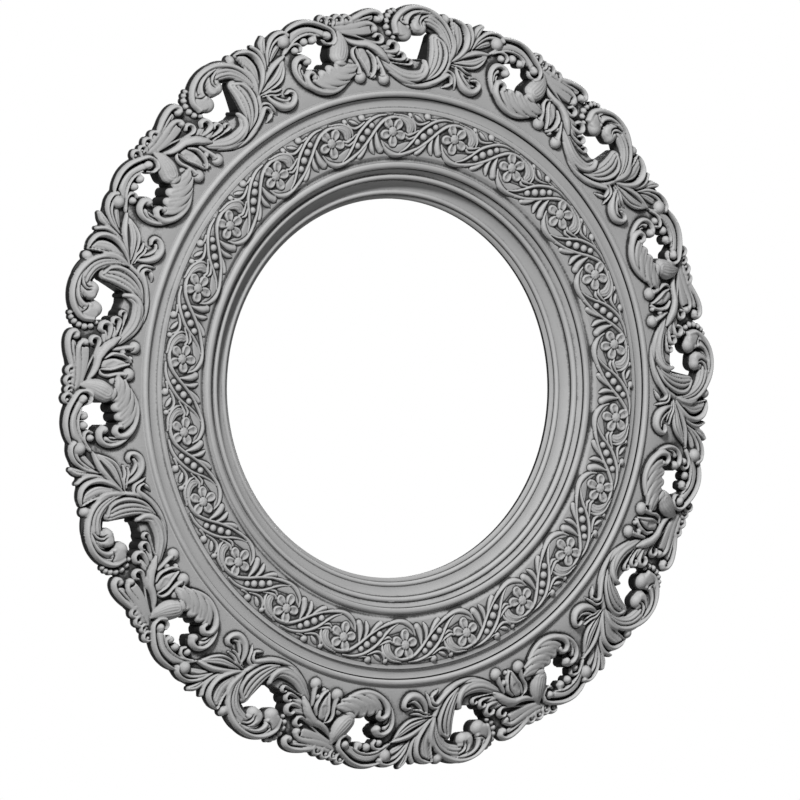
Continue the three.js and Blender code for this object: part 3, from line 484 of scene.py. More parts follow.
        (3.5, 5.4, 6.4, 7.4, 8, 8.4, 8.6, 8.6)),
    knob(-80.6, 360.6, 4.2, 8.8),
    groove(((-99, 359.4), (-89, 363.6), (-83, 364.4), (-80.8, 362.8)), (0.7, 1.2, 1.3, 0.9), (2, 4, 5, 3)),
    # curls at the rim
    *rim_curl(-142.6, 347.6, 0.94),
    *rim_curl(-134, 348.6, 0.8),
    *rim_curl(-125, 351.6, 1.0),
    *rim_curl(-115, 353.6, 1.0),
    # second scroll over the body that it shares with the hooks
    Stroke(((-132, 340.6), (-114, 344.6), (-98, 348.4), (-87, 350)), (3, 8, 9.4, 6), (3.4, 5, 5.6, 5),
        edge=4),
    Stroke(((-140, 341.6), (-122, 343.6), (-107, 348.6), (-96, 353.2), (-88.4, 354.4), (-82.8, 351.4)),
        (1.2, 2.4, 3, 3, 2.6, 2.8), (3, 4.8, 6, 6.8, 7.2, 7.2)),
    knob(-84, 349.6, 4.2, 7.8),
    groove(((-88.8, 352), (-88, 349.2), (-86.8, 346)), (0.8, 1.2, 1), (4, 6, 4)),
    Stroke(((-134, 340.4), (-118, 340.8), (-102, 343.4), (-90, 346)), (1, 2.8, 4, 3.2), (3, 4.6, 5.2, 4.8),
        flutes=2, depth=0.36),
    # row of hooks along the opening
    *hook(-79.4, 341.2, 5.8, 7.4, (-122, 338.6), (-106, 338.4), (-92, 337)),
    Stroke(((-92, 330.4), (-80, 330.6), (-70, 333.6), (-66, 335)), (2, 4.4, 3.6, 1.4), (4.4, 5.4, 4.6, 3),
        flutes=2, depth=0.3),
    *hook(-63, 336.2, 6.8, 8, (-90, 330), (-77, 328.8)),
    Stroke(((-78, 325.4), (-68, 325.4), (-60, 327)), (2, 3.4, 1.4), (4.4, 5, 3)),
    *hook(-53.6, 328.4, 5, 7, (-76, 323.6), (-65, 323.4)),
    *hook(-44.2, 324.2, 3.8, 6, (-66, 319.6), (-55, 320)),
    # smooth leaf
    Stroke(((-122, 336), (-112, 332), (-103, 331.4), (-93, 332.6), (-84, 330.2), (-76, 325.4), (-68, 320)),
        (1, 3, 3.8, 4.6, 5, 4.6, 2), (3, 5.6, 7.2, 8.4, 8.8, 8, 5), edge=2.6),
    # hanging bud between two stems that end in drops
    *drop(((-81, 321), (-77.6, 314.6), (-74, 308), (-71.6, 301.4)), (2.2, 2.8, 3, 4), (4.4, 5.4, 5.8, 6.8),
        6.2),
    *drop(((-104, 328), (-108.4, 323.4), (-107.8, 317), (-103, 309.4), (-99.2, 298.2)),
        (1, 1.8, 2.2, 2.4, 4), (3.6, 5, 5.4, 5.6, 6.8), 6.6),
    Stroke(((-98, 322.6), (-94.4, 314.4), (-89.8, 305)), (6.2, 6.6, 3.6), (4.2, 4.8, 4), edge=3.4),
    groove(((-99, 321), (-94, 316.4)), (2.6, 3.2), (0.8, 1.4)),
    Stroke(((-104, 325.6), (-100.8, 317), (-95.2, 310), (-89.6, 301.4)), (1.1, 1.6, 1.6, 1.5),
        (4.4, 6, 6.2, 5)),
    *balls((-80.8, 311.4, 3.6, 5.6), (-83.6, 301.8, 2.8, 5)),
    Stroke(((-92, 326), (-85.6, 320.4), (-83.8, 313), (-84.2, 306), (-87, 300.4)), (1.6, 2.2, 2, 2, 1.7),
        (5, 6.6, 6.8, 6.2, 5)),
    groove(((-90, 322), (-87.6, 315.6), (-87.8, 308), (-89, 302.8)), (0.8, 1.2, 1.2, 0.8), (3, 4.6, 4.6, 3)),
)

FRIEZE_STROKES = (
    # crescent that starts beside the flower, holds the smooth dish and runs on as the next flower's stem
    Stroke(((-13, 247), (-6, 241), (4, 239), (14, 242), (24, 246)), (1, 3.4, 4.8, 4, 1),
        (0.6, 1, 1.2, 1, 0.6), edge=4),
    Stroke(((-14, 248), (-11, 240.6), (-4, 235), (4, 233), (14, 234.6), (26, 238.6)),
        (0.8, 2, 2.9, 2.6, 1.9, 1.5), (1.4, 2.4, 2.8, 2.8, 2.6, 2.4), lean=0.15),
    # stems
    Stroke(((-50, 229.6), (-40, 238), (-30, 248), (-20, 260), (-10, 268.5), (2, 271.4), (9, 269.6)),
        (1.3, 1.5, 1.7, 1.8, 1.9, 1.8, 1), (2.2, 2.6, 2.8, 2.9, 3, 2.8, 2.2)),
    Stroke(((6, 235.4), (14, 239.6), (22, 246.4), (30, 254.6), (39, 260.6), (50, 265.2), (61, 266.4),
        (71, 264.6)), (0.6, 1.1, 1.5, 1.7, 1.8, 1.8, 1.4, 0.8),
        (1.6, 2.4, 2.8, 2.9, 2.8, 2.6, 2.2, 1.4)),
    # turned leaf with its outer edge, and the lobes beside the flower
    Stroke(((1, 272), (11, 269.6), (17.4, 265.6), (20, 261), (19.4, 257)), (1.2, 2.6, 4.4, 5, 4.2),
        (2, 2.6, 2.8, 2.8, 2), flutes=3, depth=0.4, edge=3),
    Stroke(((3, 274), (15, 272), (22, 267.6), (25.2, 262), (25.4, 256.8)), (0.8, 1.3, 1.6, 1.6, 0.9),
        (2.2, 2.8, 3.2, 3, 2.2)),
    Stroke(((14.6, 250.8), (18, 248.9), (22.6, 250.2), (26, 252)), (1.3, 1.6, 1.2, 0.6),
        (2.2, 2.6, 2.2, 1.6)),
    Stroke(((13.4, 254.6), (17, 252.8), (22, 253.8), (30, 257)), (1.4, 1.8, 1.5, 0.7), (2.4, 2.8, 2.4, 1.8)),
    # comma leaves
    Stroke(((-31, 245.5), (-34.4, 240), (-38.2, 235), (-41, 232.4)), (0.7, 1.8, 2.7, 2.6),
        (1.8, 2.8, 3, 2.8)),
    Stroke(((-25.6, 252), (-26.8, 246), (-26, 240), (-23.8, 235.4)), (0.6, 2, 2.7, 1.1), (1.8, 2.8, 3, 2)),
    Stroke(((-20.6, 258), (-20, 250), (-18.4, 243.4), (-15.8, 239)), (0.7, 2.5, 3.8, 4), (1.8, 3, 3.4, 3.2)),
    # pod of berries
    *balls((-42.4, 243.4, 3.5, 3.2), (-36.6, 250.4, 3.9, 3.5), (-30.4, 257.2, 3.8, 3.4),
        (-25, 263.2, 3.2, 3)),
    # outer berry, small berry and the leaves beside them
    Stroke(((-34, 269.4), (-30, 269.8), (-25.6, 271.6)), (1, 1, 0.8), (2, 2, 1.6)),
    ball(-36, 271.6, 3.8, 3.3),
    Stroke(((22.6, 271), (25.2, 266), (29.6, 263), (36, 263.4), (43, 265.6)), (0.9, 1.4, 1.6, 1.3, 0.8),
        (2, 2.4, 2.6, 2.4, 2)),
    ball(21.4, 272.6, 2.7, 2.8),
    Stroke(((27.6, 271.6), (30.8, 268.8), (34.6, 266)), (1, 2.2, 0.9), (2, 2.6, 2)),
    # flower of five cupped petals round its boss
    Stroke(((-1, 256.6),), (8,), (1.4,), edge=6, power=0.4),
    *petal(-1, 256.8, -4.6, 8.4),
    *petal(-1, 256.8, 6.8, 7),
    *petal(-1, 256.8, 8.8, -3.8),
    *petal(-1, 256.8, -0.2, -10),
    *petal(-1, 256.8, -8.6, -2.6),
    ball(-1.4, 257, 5, 4.1),
)

# The border's rim between its repeats' bounds, clockwise
RIM = (
    (-139, 347), (-128, 350), (-118, 352.5), (-108, 355), (-98, 361), (-90, 366), (-80, 367),
    (-76, 362), (-71.5, 361), (-66, 368), (-60, 371), (-50, 377), (-36, 380), (-22, 379),
    (-10, 372), (-3, 372), (5, 374), (14, 376), (24, 374), (31, 371), (38, 373), (45, 373),
    (54, 374), (66, 373), (75, 369), (90, 368), (102, 363), (110, 358), (117, 359),
)

# The two openings that pierce each repeat
WIDE_OPENING = (
    (-60, 345.5), (-54, 345.7), (-47, 347), (-43, 351), (-39, 356), (-33, 354), (-27, 357), (-22, 361),
    (-12, 357), (-4, 350), (-2, 344), (-6, 350), (-12, 353.5), (-18.5, 354.5), (-20.5, 340), (-22.5, 328),
    (-24, 321), (-27, 327.5), (-33, 326), (-40, 326.5), (-43, 328), (-48.5, 328), (-49, 331.5),
    (-54.5, 333.5), (-57, 340),
)
SMALL_OPENING = (
    (69, 344), (73, 342), (76.5, 338), (76.5, 333), (72, 328.5), (65.5, 326.5), (68.5, 322), (68, 317.5),
    (71, 314), (80, 313), (90, 312.5), (96.5, 313.5), (97, 320), (101, 326), (109, 332.5), (106, 335.5),
    (101, 339), (99, 345), (97, 350), (90, 352), (82, 352), (78, 350), (74, 347),
)


@dataclass
class Relief:
    """A carved surface over a grid of directions and radii, in steps.

    It reaches from the direction first to last, in degrees, with so many columns. set_in is how far a
    stroke's outline is cut into what it lies on, over set_in_width, where it rises by set_in_rise or more.
    shading is the relief that tells a hollow from a crest, against the surface averaged over spreads cells.
    """

    strokes: tuple[Stroke, ...]
    first: float
    last: float
    radii: Array
    columns: int
    set_in: float
    set_in_width: float = 1.2
    set_in_rise: float = 1.5
    shading: float = 6.0
    spreads: Pair = (6.0, 2.0)
    blur: float = 0.5

    def __post_init__(self) -> None:
        """Lays out the grid's points."""
        self.angles = np.radians(np.linspace(self.first, self.last, self.columns))
        angle, radius = np.meshgrid(self.angles, self.radii)
        self.x = radius * np.sin(angle)
        self.y = radius * np.cos(angle)

    def carve(self, ground: Array, turns: tuple[float, ...]) -> tuple[Array, Array]:
        """Raises and cuts every stroke on a ground.

        Args:
            ground: the ground's height at each grid point.
            turns: the degrees by which the strokes are repeated.

        Returns:
            The carved height, and a field that is positive inside the raised strokes.
        """
        height = ground.copy()
        wood = np.full(ground.shape, -FAR)
        for stroke in self.strokes:
            for turn in turns:
                moved = stroke.turned(turn)
                near = moved.near(self.x, self.y)
                if near.any():
                    self.cut(moved, near, ground, height, wood)
        return self.softened(height, self.blur), wood

    def cut(
        self, stroke: Stroke, near: Array, ground: Array, height: Array, wood: Array
    ) -> None:
        """Raises or cuts one stroke.

        Args:
            stroke: the stroke, in its place.
            near: which grid points it may touch.
            ground: the ground's height.
            height, wood: the carved height and the field of wood, which it changes.
        """
        share, side, high, half = stroke.measure(self.x[near], self.y[near])
        base, here = ground[near], height[near]
        if stroke.cut is Cut.CARVE:
            height[near] = here - np.clip(1 - share**2, 0, 1) * high
            return
        section = stroke.section(share, side)
        if stroke.cut is Cut.JOIN:
            height[near] = np.where(share < 1, np.maximum(here, base + high * section), here)
        else:
            crest = base + high
            over = np.clip((crest - here) / self.set_in_rise, 0, 1)
            beyond = np.clip((share - 1) * half / self.set_in_width, 0, 1)
            low = here - self.set_in * over * (1 - beyond) ** 2
            height[near] = np.where((share < 1) & (crest > here), low + (crest - low) * section, low)
        wood[near] = np.maximum(wood[near], (1 - share) * half)

    def shade(self, height: Array) -> Array:
        """How a surface stands over what lies round it, about 0 in a hollow and 1 on a crest."""
        wide, near = (self.softened(height, spread) for spread in self.spreads)
        return 0.5 + (2 * height - wide - near) / self.shading

    def softened(self, values: Array, spread: float) -> Array:
        """Values averaged over their neighbours, with a spread in grid cells, round a closed pitch.

        Args:
            values: the grid's values.
            spread: how far they are averaged.

        Returns:
            The averaged values.
        """
        reach = max(1, math.ceil(2.5 * spread))
        steps = np.arange(-reach, reach + 1)
        weights = np.exp(-(steps**2) / (2 * spread**2))
        weights /= weights.sum()
        ring = np.hstack([values[:, -1 - reach : -1], values, values[:, 1 : 1 + reach]])
        across = sum(w * ring[:, reach + s : ring.shape[1] - reach + s] for s, w in zip(steps, weights))
        tall = np.pad(across, ((reach, reach), (0, 0)), mode="edge")
        return sum(w * tall[reach + s : tall.shape[0] - reach + s] for s, w in zip(steps, weights))


def inside_line(points: tuple, x: Array, y: Array) -> Array:
    """Distance of points to a closed line, positive inside it.

    Args:
        points: the line's corners.
        x, y: the points to measure.

    Returns:
        The distances.
    """
    corners = np.array(points, float)
    distance = np.full(x.shape, FAR)
    inside = np.zeros(x.shape, bool)
    for (ax, ay), (bx, by) in zip(corners, np.roll(corners, -1, 0)):
        ex, ey = bx - ax, by - ay
        along = np.clip(((x - ax) * ex + (y - ay) * ey) / (ex * ex + ey * ey), 0, 1)
        distance = np.minimum(distance, np.hypot(x - ax - along * ex, y - ay - along * ey))
        if ay != by:
            inside ^= ((ay > y) != (by > y)) & (x < ex * (y - ay) / (by - ay) + ax)
    return np.where(inside, distance, -distance)


def turned_points(points: tuple, degrees: float) -> tuple:
    """Points some degrees further clockwise round the frame."""
    c, s = math.cos(math.radians(degrees)), math.sin(math.radians(degrees))
    return tuple((x * c + y * s, y * c - x * s) for x, y in points)


@dataclass
class CarvedPlate:
    """A carved plate as one closed shell: relief in front, upright walls and a stepped back.

    The back lies at inner_back out to the row recess_row of the grid and at outer_back beyond it. Walls
    beyond the radius open_rim get almost no painted shade at their foot, walls inside it dark painted
    shade. The wood's edge keeps the share margin of a cell away from the grid's points.
    """

    relief: Relief
    height: Array
    wood: Array
    recess_row: int
    inner_back: float
    outer_back: float
    open_rim: float = math.inf
    margin: float = 0.08
    corners: list[Array] = field(default_factory=list)

    def keep(self, used: Array, places: Array) -> Array:
        """Adds the used places to the corners and gives their numbers, with -1 for the others.

        Args:
            used: which places are used.
            places: the places.

        Returns:
            The numbers.
        """
        first = sum(len(kept) for kept in self.corners)
        numbers = np.full(used.shape, -1)
        numbers[used] = first + np.arange(used.sum())
        self.corners.append(places[used])
        return numbers

    def outline(self) -> list[Array]:
        """Finds the front's corners: the grid's points in wood, and where the wood ends between two points.

        Returns:
            The corners' numbers at the grid's points, between neighbours in a row and in a column.
        """
        angle, radius = np.meshgrid(self.relief.angles, self.relief.radii)
        stack = np.dstack([angle, radius, self.height, self.relief.shade(self.height)])
        inside = self.wood > 0
        numbered = [self.keep(inside, stack)]
        for low, high in ((np.s_[:, :-1], np.s_[:, 1:]), (np.s_[:-1], np.s_[1:])):
            used = inside[low] != inside[high]
            start, end = self.wood[low], self.wood[high]
            gap = np.where(used, start - end, 1)
            share = np.clip(start / gap, self.margin, 1 - self.margin)[..., None]
            numbered.append(self.keep(used, stack[low] * (1 - share) + stack[high] * share))
        return numbered

    def front(self) -> tuple[list[Array], list[Array]]:
        """Cuts the grid along the line where the wood ends.

        Returns:
            The front's polygons, as arrays of equal corner counts, and the grid row of each.
        """
        spot, level, upright = self.outline()
        ring = (
            (spot[:-1, :-1], level[:-1]),
            (spot[:-1, 1:], upright[:, 1:]),
            (spot[1:, 1:], level[1:]),
            (spot[1:, :-1], upright[:, :-1]),
        )
        code = sum((corner >= 0).astype(int) << i for i, (corner, _) in enumerate(ring))
        row = np.indices(code.shape)[0]
        polygons, rows = [], []
        for kind in range(1, 2 ** len(ring)):
            cells = code == kind
            if not cells.any():
                continue
            chosen = []
            for i, (corner, edge) in enumerate(ring):
                here, after = kind >> i & 1, kind >> (i + 1) % len(ring) & 1
                if here:
                    chosen.append(corner[cells])
                if here != after:
                    chosen.append(edge[cells])
            polygons.append(np.stack(chosen, 1))
            rows.append(row[cells])
        return polygons, rows

    def build(self, name: str) -> Mesh:
        """Makes the mesh, with a float attribute named hollow, low in the recesses, for the painted shade.

        Args:
            name: the mesh's name.

        Returns:
            The mesh.
        """
        polygons, rows = self.front()
        corners = np.vstack(self.corners)
        faces = [tuple(p) for block in polygons for p in block.tolist()]
        start = np.concatenate([block.ravel() for block in polygons])
        end = np.concatenate([np.roll(block, -1, 1).ravel() for block in polygons])
        band = np.concatenate([np.repeat(r >= self.recess_row, b.shape[1]) for b, r in zip(polygons, rows)])
        count = len(corners)
        forward, backward = start * count + end, end * count + start
        open_edge = ~np.isin(forward, backward)
        backs, loops, added = {}, {}, [corners]
        for outer in (False, True):
            mine = band == outer
            if not mine.any():
                continue
            rim = mine & ~np.isin(forward, backward[mine])
            own = np.unique(start[rim])
            added.append(self.lowered(corners[own], outer))
            backs[outer] = dict(zip(own.tolist(), range(count, count + len(own))))
            loops[outer] = (start[rim], end[rim], open_edge[rim])
            count += len(own)
        everything = np.vstack(added)
        for outer, (first, second, free) in loops.items():
            low = backs[outer]
            faces += self.walls((first, second, free), low, backs.get(not outer, {}), outer)
            faces += self.back_faces(first, second, low, everything)
        return self.mesh(name, everything, faces)

    def lowered(self, corners: Array, outer: bool) -> Array:
        """Corners of the front brought down to the back, with the painted shade of a wall's foot.

        Args:
            corners: the corners in front.
            outer: whether they are over the outer back.

        Returns:
            The corners behind them.
        """
        # Marks how deep each corner lies between the profile's crests, for painted shade and painted
        # highlight.
        under = corners.copy()
        under[:, 2] = self.outer_back if outer else self.inner_back
        under[:, 3] = np.where(under[:, 1] > self.open_rim, RIM_SHADE, WALL_FOOT_SHADE)
        return under

    @staticmethod
    def walls(edges: tuple[Array, ...], low: dict, other: dict, outer: bool) -> list[tuple[int, ...]]:
        """Stands walls on one back's bounds, and joins the inner back to the outer one.

        Args:
            edges: the start, the end and whether it is open, of each bounding edge of the front.
            low, other: the numbers of the corners under the front's, on this back and on the other.
            outer: whether this is the outer back.

        Returns:
            The walls' faces.
        """
        faces = []
        for a, b, free in zip(*(column.tolist() for column in edges)):
            if free:
                before, after = ([other[n]] if outer and n in other else [] for n in (a, b))
                faces.append((b, a, *before, low[a], low[b], *after))
            elif not outer:
                faces.append((low[a], low[b], other[b], other[a]))
        return faces

    @staticmethod
    def back_faces(first: Array, second: Array, low: dict, corners: Array) -> list:
        """Fills a flat back between the closed lines that bound it, and leaves its openings free.

        Args:
            first, second: the starts and ends of the bounding edges.
            low: the number of the corner behind each of the front's.
            corners: all corners.

        Returns:
            The triangles.
        """
        own = sorted(low)
        place = {n: i for i, n in enumerate(own)}
        spots = [flat_spot(corners[low[n]]) for n in own]
        edges = [(place[a], place[b]) for a, b in zip(first.tolist(), second.tolist())]
        within_lines, same_spot = 1, 1e-7
        _, _, triangles, sources, _, _ = delaunay_2d_cdt(spots, edges, [], within_lines, same_spot)
        triangles = np.array([[sources[i][0] for i in corner] for corner in triangles])
        flat_spots, lines = np.array(spots), np.array(edges)
        middle = flat_spots[triangles].mean(1)[:, None, :]
        start, end = flat_spots[lines[:, 0]], flat_spots[lines[:, 1]]
        level = (start[:, 1] > middle[..., 1]) != (end[:, 1] > middle[..., 1])
        rise = np.where(end[:, 1] == start[:, 1], 1.0, end[:, 1] - start[:, 1])
        across = start[:, 0] + (end[:, 0] - start[:, 0]) * (middle[..., 1] - start[:, 1]) / rise
        inside = (level & (across > middle[..., 0])).sum(1) % 2 == 1
        return [tuple(low[own[i]] for i in reversed(corner)) for corner in triangles[inside].tolist()]

    @staticmethod
    def mesh(name: str, corners: Array, faces: list) -> Mesh:
        """Turns corners of (direction, radius, height, shade) and faces into a mesh.

        Args:
            name: the mesh's name.
            corners, faces: what it is made of.

        Returns:
            The mesh.
        """
        angle, radius, height = corners[:, 0], corners[:, 1] * STEP, corners[:, 2] * STEP
        places = np.column_stack([radius * np.sin(angle), -height, radius * np.cos(angle)])
        made = bpy.data.meshes.new(name)
        made.from_pydata(places.tolist(), [], faces)
        store_hollow(made, corners[:, 3])
        made.shade_smooth()
        made.set_sharp_from_angle(angle=math.radians(CREASE_ANGLE))
        return made


def flat_spot(corner: Array) -> Vector:
    """A (direction, radius, ...) corner as a point of the drawing."""
    return Vector((corner[1] * math.sin(corner[0]), corner[1] * math.cos(corner[0])))


def store_hollow(mesh: Mesh, values: Array) -> None:
    """Keeps how deep each corner lies in a recess, from 0 deep down to 1 on a crest, for painted shade."""
    kept = mesh.attributes.new("hollow", "FLOAT", "POINT")
    kept.data.foreach_set("value", np.clip(values, 0, 1).astype(np.float32))


def put(name: str, data: ID) -> Object:
    """A new object in the scene."""
    made = bpy.data.objects.new(name, data)
    bpy.context.scene.collection.objects.link(made)
    return made


def emptied(owner: Material | World) -> NodeTree:
    """The node tree of a new material or world, with nothing in it."""
    owner.use_nodes = True
    owner.node_tree.nodes.clear()
    return owner.node_tree


class Nodes:
    """Adds nodes to a tree and links them."""

    def __init__(self, tree: NodeTree) -> None:
        """Keeps the tree."""
        self.tree = tree

    def add(self, kind: str, inputs: dict[Any, Any] | None = None, **settings: Any) -> Node:
        """Adds a node.

        Args:
            kind: the node's type.
            inputs: a value or another node's output for each input, by name or number.
            settings: the node's own properties.

        Returns:
            The node.
        """
        node = self.tree.nodes.new(kind)
        for name, value in settings.items():
            setattr(node, name, value)
        for key, value in (inputs or {}).items():
            if isinstance(value, NodeSocket):
                self.tree.links.new(value, node.inputs[key])
            else:
                node.inputs[key].default_value = value
        return node

    def math(self, operation: str, *values: Any) -> NodeSocket:
        """The output of a Math node."""
        return self.add("ShaderNodeMath", dict(enumerate(values)), operation=operation).outputs[0]

    def vector_math(self, operation: str, *values: Any) -> Any:
        """The outputs of a Vector Math node."""
        return self.add("ShaderNodeVectorMath", dict(enumerate(values)), operation=operation).outputs

    def vector(self, **parts: Any) -> NodeSocket:
        """A vector from its X, Y and Z."""
        return self.add("ShaderNodeCombineXYZ", parts).outputs[0]

    def split(self, vector: NodeSocket) -> Any:
        """A vector's X, Y and Z."""
        return self.add("ShaderNodeSeparateXYZ", {0: vector}).outputs

    def noise(self, place: Any, scale: Any, detail: float, **more: float) -> NodeSocket:
        """Noise round 0.5, of a scale and a detail."""
        inputs = {"Vector": place, "Scale": scale, "Detail": detail, **more}
        return self.add("ShaderNodeTexNoise", inputs).outputs[0]

    def ramp(self, value: Any, low: float, high: float, start: float = 0.0, end: float = 1.0) -> Any:
        """A value mapped smoothly from one range to another."""
        inputs = {"Value": value, "From Min": low, "From Max": high, "To Min": start, "To Max": end}
        return self.add("ShaderNodeMapRange", inputs, interpolation_type="SMOOTHSTEP").outputs[0]

    def blend(self, factor: Any, first: Any, second: Any) -> NodeSocket:
        """Two colours mixed by a factor."""
        return self.add("ShaderNodeMix", {0: factor, 6: first, 7: second}, data_type="RGBA").outputs[2]

    def rays(self, *kinds: str) -> NodeSocket:
        """One for a ray of any of these kinds, else nought.

        Args:
            kinds: Camera, Glossy and the like.

        Returns:
            The mask.
        """
        path = self.add("ShaderNodeLightPath").outputs
        found = path[f"Is {kinds[0]} Ray"]
        for kind in kinds[1:]:
            found = self.math("MAXIMUM", found, path[f"Is {kind} Ray"])
        return found


class Tree(Nodes):
    """A node group with named inputs and results."""

    def __init__(self, name: str, kind: str, sockets: dict[str, str], results: dict[str, str]) -> None:
        """Starts the group.

        Args:
            name: the group's name.
            kind: GeometryNodeTree or ShaderNodeTree.
            sockets: the kind of each input.
            results: the kind of each result.
        """
        super().__init__(bpy.data.node_groups.new(name, kind))
        for labels, way in ((sockets, "INPUT"), (results, "OUTPUT")):
            for label, socket in labels.items():
                self.tree.interface.new_socket(label, in_out=way, socket_type=f"NodeSocket{socket}")
        self.given = self.tree.nodes.new("NodeGroupInput").outputs
        self.results = self.tree.nodes.new("NodeGroupOutput").inputs

    def end(self, *sockets: NodeSocket) -> NodeTree:
        """Puts the sockets out, in the order of the results."""
        for socket, result in zip(sockets, self.results):
            self.tree.links.new(socket, result)
        return self.tree


class ShapeTree(Tree):
    """A geometry tree that takes a drawing, some sizes and a finish, and puts out a closed solid."""

    UPRIGHT = (math.pi / 2, 0, 0)
    SIDEWAYS = (math.pi / 2, 0, math.pi / 2)

    def __init__(self, name: str, **sizes: str) -> None:
        """Starts the tree with the kind of each size."""
        sockets = {"Geometry": "Geometry", **sizes, "Finish": "Material"}
        super().__init__(name, "GeometryNodeTree", sockets, {"Geometry": "Geometry"})

    def drawn(self) -> NodeSocket:
        """The drawing as curves."""
        return self.add("GeometryNodeMeshToCurve", {"Mesh": self.given["Geometry"]}).outputs[0]

    def circle(self, steps: Any, radius: Any) -> NodeSocket:
        """A round curve."""
        inputs = {"Resolution": steps, "Radius": radius}
        return self.add("GeometryNodeCurvePrimitiveCircle", inputs).outputs[0]

    def swept(self, path: NodeSocket, profile: NodeSocket) -> NodeSocket:
        """A profile swept along a path."""
        return self.add("GeometryNodeCurveToMesh", {"Curve": path, "Profile Curve": profile}).outputs[0]

    def merged(self, solid: NodeSocket, distance: float) -> NodeSocket:
        """A solid whose corners are merged."""
        inputs = {"Geometry": solid, "Distance": distance}
        return self.add("GeometryNodeMergeByDistance", inputs).outputs[0]

    def turned(self) -> NodeSocket:
        """The drawing swept round a circle of the tree's own radius."""
        circle = self.circle(self.given["Steps"], self.given["Radius"])
        return self.merged(self.swept(circle, self.drawn()), 2 * MERGE)

    def rounded(self, outline: Any, radius: Any, steps: int, limited: bool = False) -> NodeSocket:
        """A curve with round corners, whose radius may be limited to what fits."""
        inputs = {"Curve": outline, "Radius": radius, "Count": steps, "Limit Radius": limited}
        return self.add("GeometryNodeFilletCurve", inputs, mode="POLY").outputs[0]

    def join(self, *parts: NodeSocket) -> NodeSocket:
        """Several geometries as one.

        Args:
            parts: the geometries.

        Returns:
            The joined geometry.
        """
        node = self.add("GeometryNodeJoinGeometry")
        for part in parts:
            self.tree.links.new(part, node.inputs[0])
        return node.outputs[0]

    def filled(self, outline: NodeSocket, depth: Any) -> NodeSocket:
        """Closed curves filled and grown by a depth into a closed solid.

        Args:
            outline: the curves.
            depth: how far they grow.

        Returns:
            The solid.
        """
        face = self.add("GeometryNodeFillCurve", {"Curve": outline}, mode="TRIANGLES").outputs[0]
        inputs = {"Mesh": face, "Offset Scale": depth, "Individual": False}
        raised = self.add("GeometryNodeExtrudeMesh", inputs).outputs[0]
        under = self.add("GeometryNodeFlipFaces", {"Mesh": face}).outputs[0]
        return self.merged(self.join(raised, under), MERGE)

    def placed(self, solid: Any, turn: Any = (0, 0, 0), move: Any = (0, 0, 0)) -> NodeSocket:
        """Geometry turned and moved."""
        inputs = {"Geometry": solid, "Rotation": turn, "Translation": move}
        return self.add("GeometryNodeTransform", inputs).outputs[0]

    def dressed(self, solid: NodeSocket, turn: Any = UPRIGHT) -> NodeTree:
        """Ends the tree with a solid turned from its drawing, in the tree's finish."""
        real = self.add("GeometryNodeRealizeInstances", {"Geometry": self.placed(solid, turn)}).outputs[0]
        inputs = {"Geometry": real, "Material": self.given["Finish"]}
        return self.end(self.add("GeometryNodeSetMaterial", inputs).outputs[0])


def turned_tree() -> NodeTree:
    """The tree that sweeps a drawn profile round the frame's axis, or round a pad's."""
    tree = ShapeTree("turned work", Radius="Float", Steps="Int")
    return tree.dressed(tree.turned())


def screw_tree() -> NodeTree:
    """The tree that turns a screw and saws its slot.

    Returns:
        The tree.
    """
    tree = ShapeTree("slotted screw", Radius="Float", Steps="Int", Slot="Vector", Top="Float")
    block = tree.add("GeometryNodeMeshCube", {"Size": tree.given["Slot"]}).outputs[0]
    saw = tree.placed(block, move=tree.vector(Z=tree.given["Top"]))
    inputs = {"Mesh 1": tree.turned(), "Mesh 2": saw}
    slotted = tree.add("GeometryNodeMeshBoolean", inputs, operation="DIFFERENCE", solver="EXACT")
    return tree.dressed(slotted.outputs[0])


def plate_tree() -> NodeTree:
    """The tree that cuts a drawn outline and its holes out of plate, from the drawing's plane backwards.

    Returns:
        The tree.
    """
    tree = ShapeTree("cut plate", Thickness="Float")
    thickness = tree.given["Thickness"]
    plate = tree.filled(tree.drawn(), thickness)
    return tree.dressed(tree.placed(plate, move=tree.vector(Z=tree.math("MULTIPLY", thickness, -1.0))))


def wire_tree() -> NodeTree:
    """The tree that bends wire along a drawn line, with rounded corners.

    Returns:
        The tree.
    """
    tree = ShapeTree("bent wire", Corner="Float", Wire="Float")
    bend_steps, round_steps = 5, 18
    bent = tree.rounded(tree.drawn(), tree.given["Corner"], bend_steps, limited=True)
    return tree.dressed(tree.swept(bent, tree.circle(round_steps, tree.given["Wire"])))


def strap_tree() -> NodeTree:
    """The tree that draws a strap's side out to its width, rounds its corners and punches its holes.

    Returns:
        The tree.
    """
    labels = ("Width", "Length", "Corner", "Middle", "Hole", "First", "Pitch")
    tree = ShapeTree("folded strap", **dict.fromkeys(labels, "Float"))
    width, length, corner, middle, hole, first, pitch = (tree.given[label] for label in labels)
    corner_steps, hole_steps, cutter_depth, cutter_start = 8, 28, 0.03, 0.02
    side = tree.filled(tree.drawn(), width)
    folded = tree.placed(side, ShapeTree.SIDEWAYS, tree.vector(X=tree.math("MULTIPLY", width, -0.5)))
    sheet = tree.add("GeometryNodeCurvePrimitiveQuadrilateral", {"Width": width, "Height": length})
    rounded = tree.rounded(sheet.outputs[0], corner, corner_steps)
    outline = [tree.placed(rounded, move=tree.vector(Y=middle))]
    for down in (first, tree.math("SUBTRACT", first, pitch)):
        outline.append(tree.placed(tree.circle(hole_steps, hole), move=tree.vector(Y=down)))
    block = tree.filled(tree.join(*outline), cutter_depth)
    cutter = tree.placed(block, ShapeTree.UPRIGHT, (0, cutter_start, 0))
    punched = tree.add("GeometryNodeMeshBoolean", operation="INTERSECT", solver="EXACT")
    for part in (folded, cutter):
        tree.tree.links.new(part, punched.inputs["Mesh 2"])
    return tree.dressed(punched.outputs[0], (0, 0, 0))


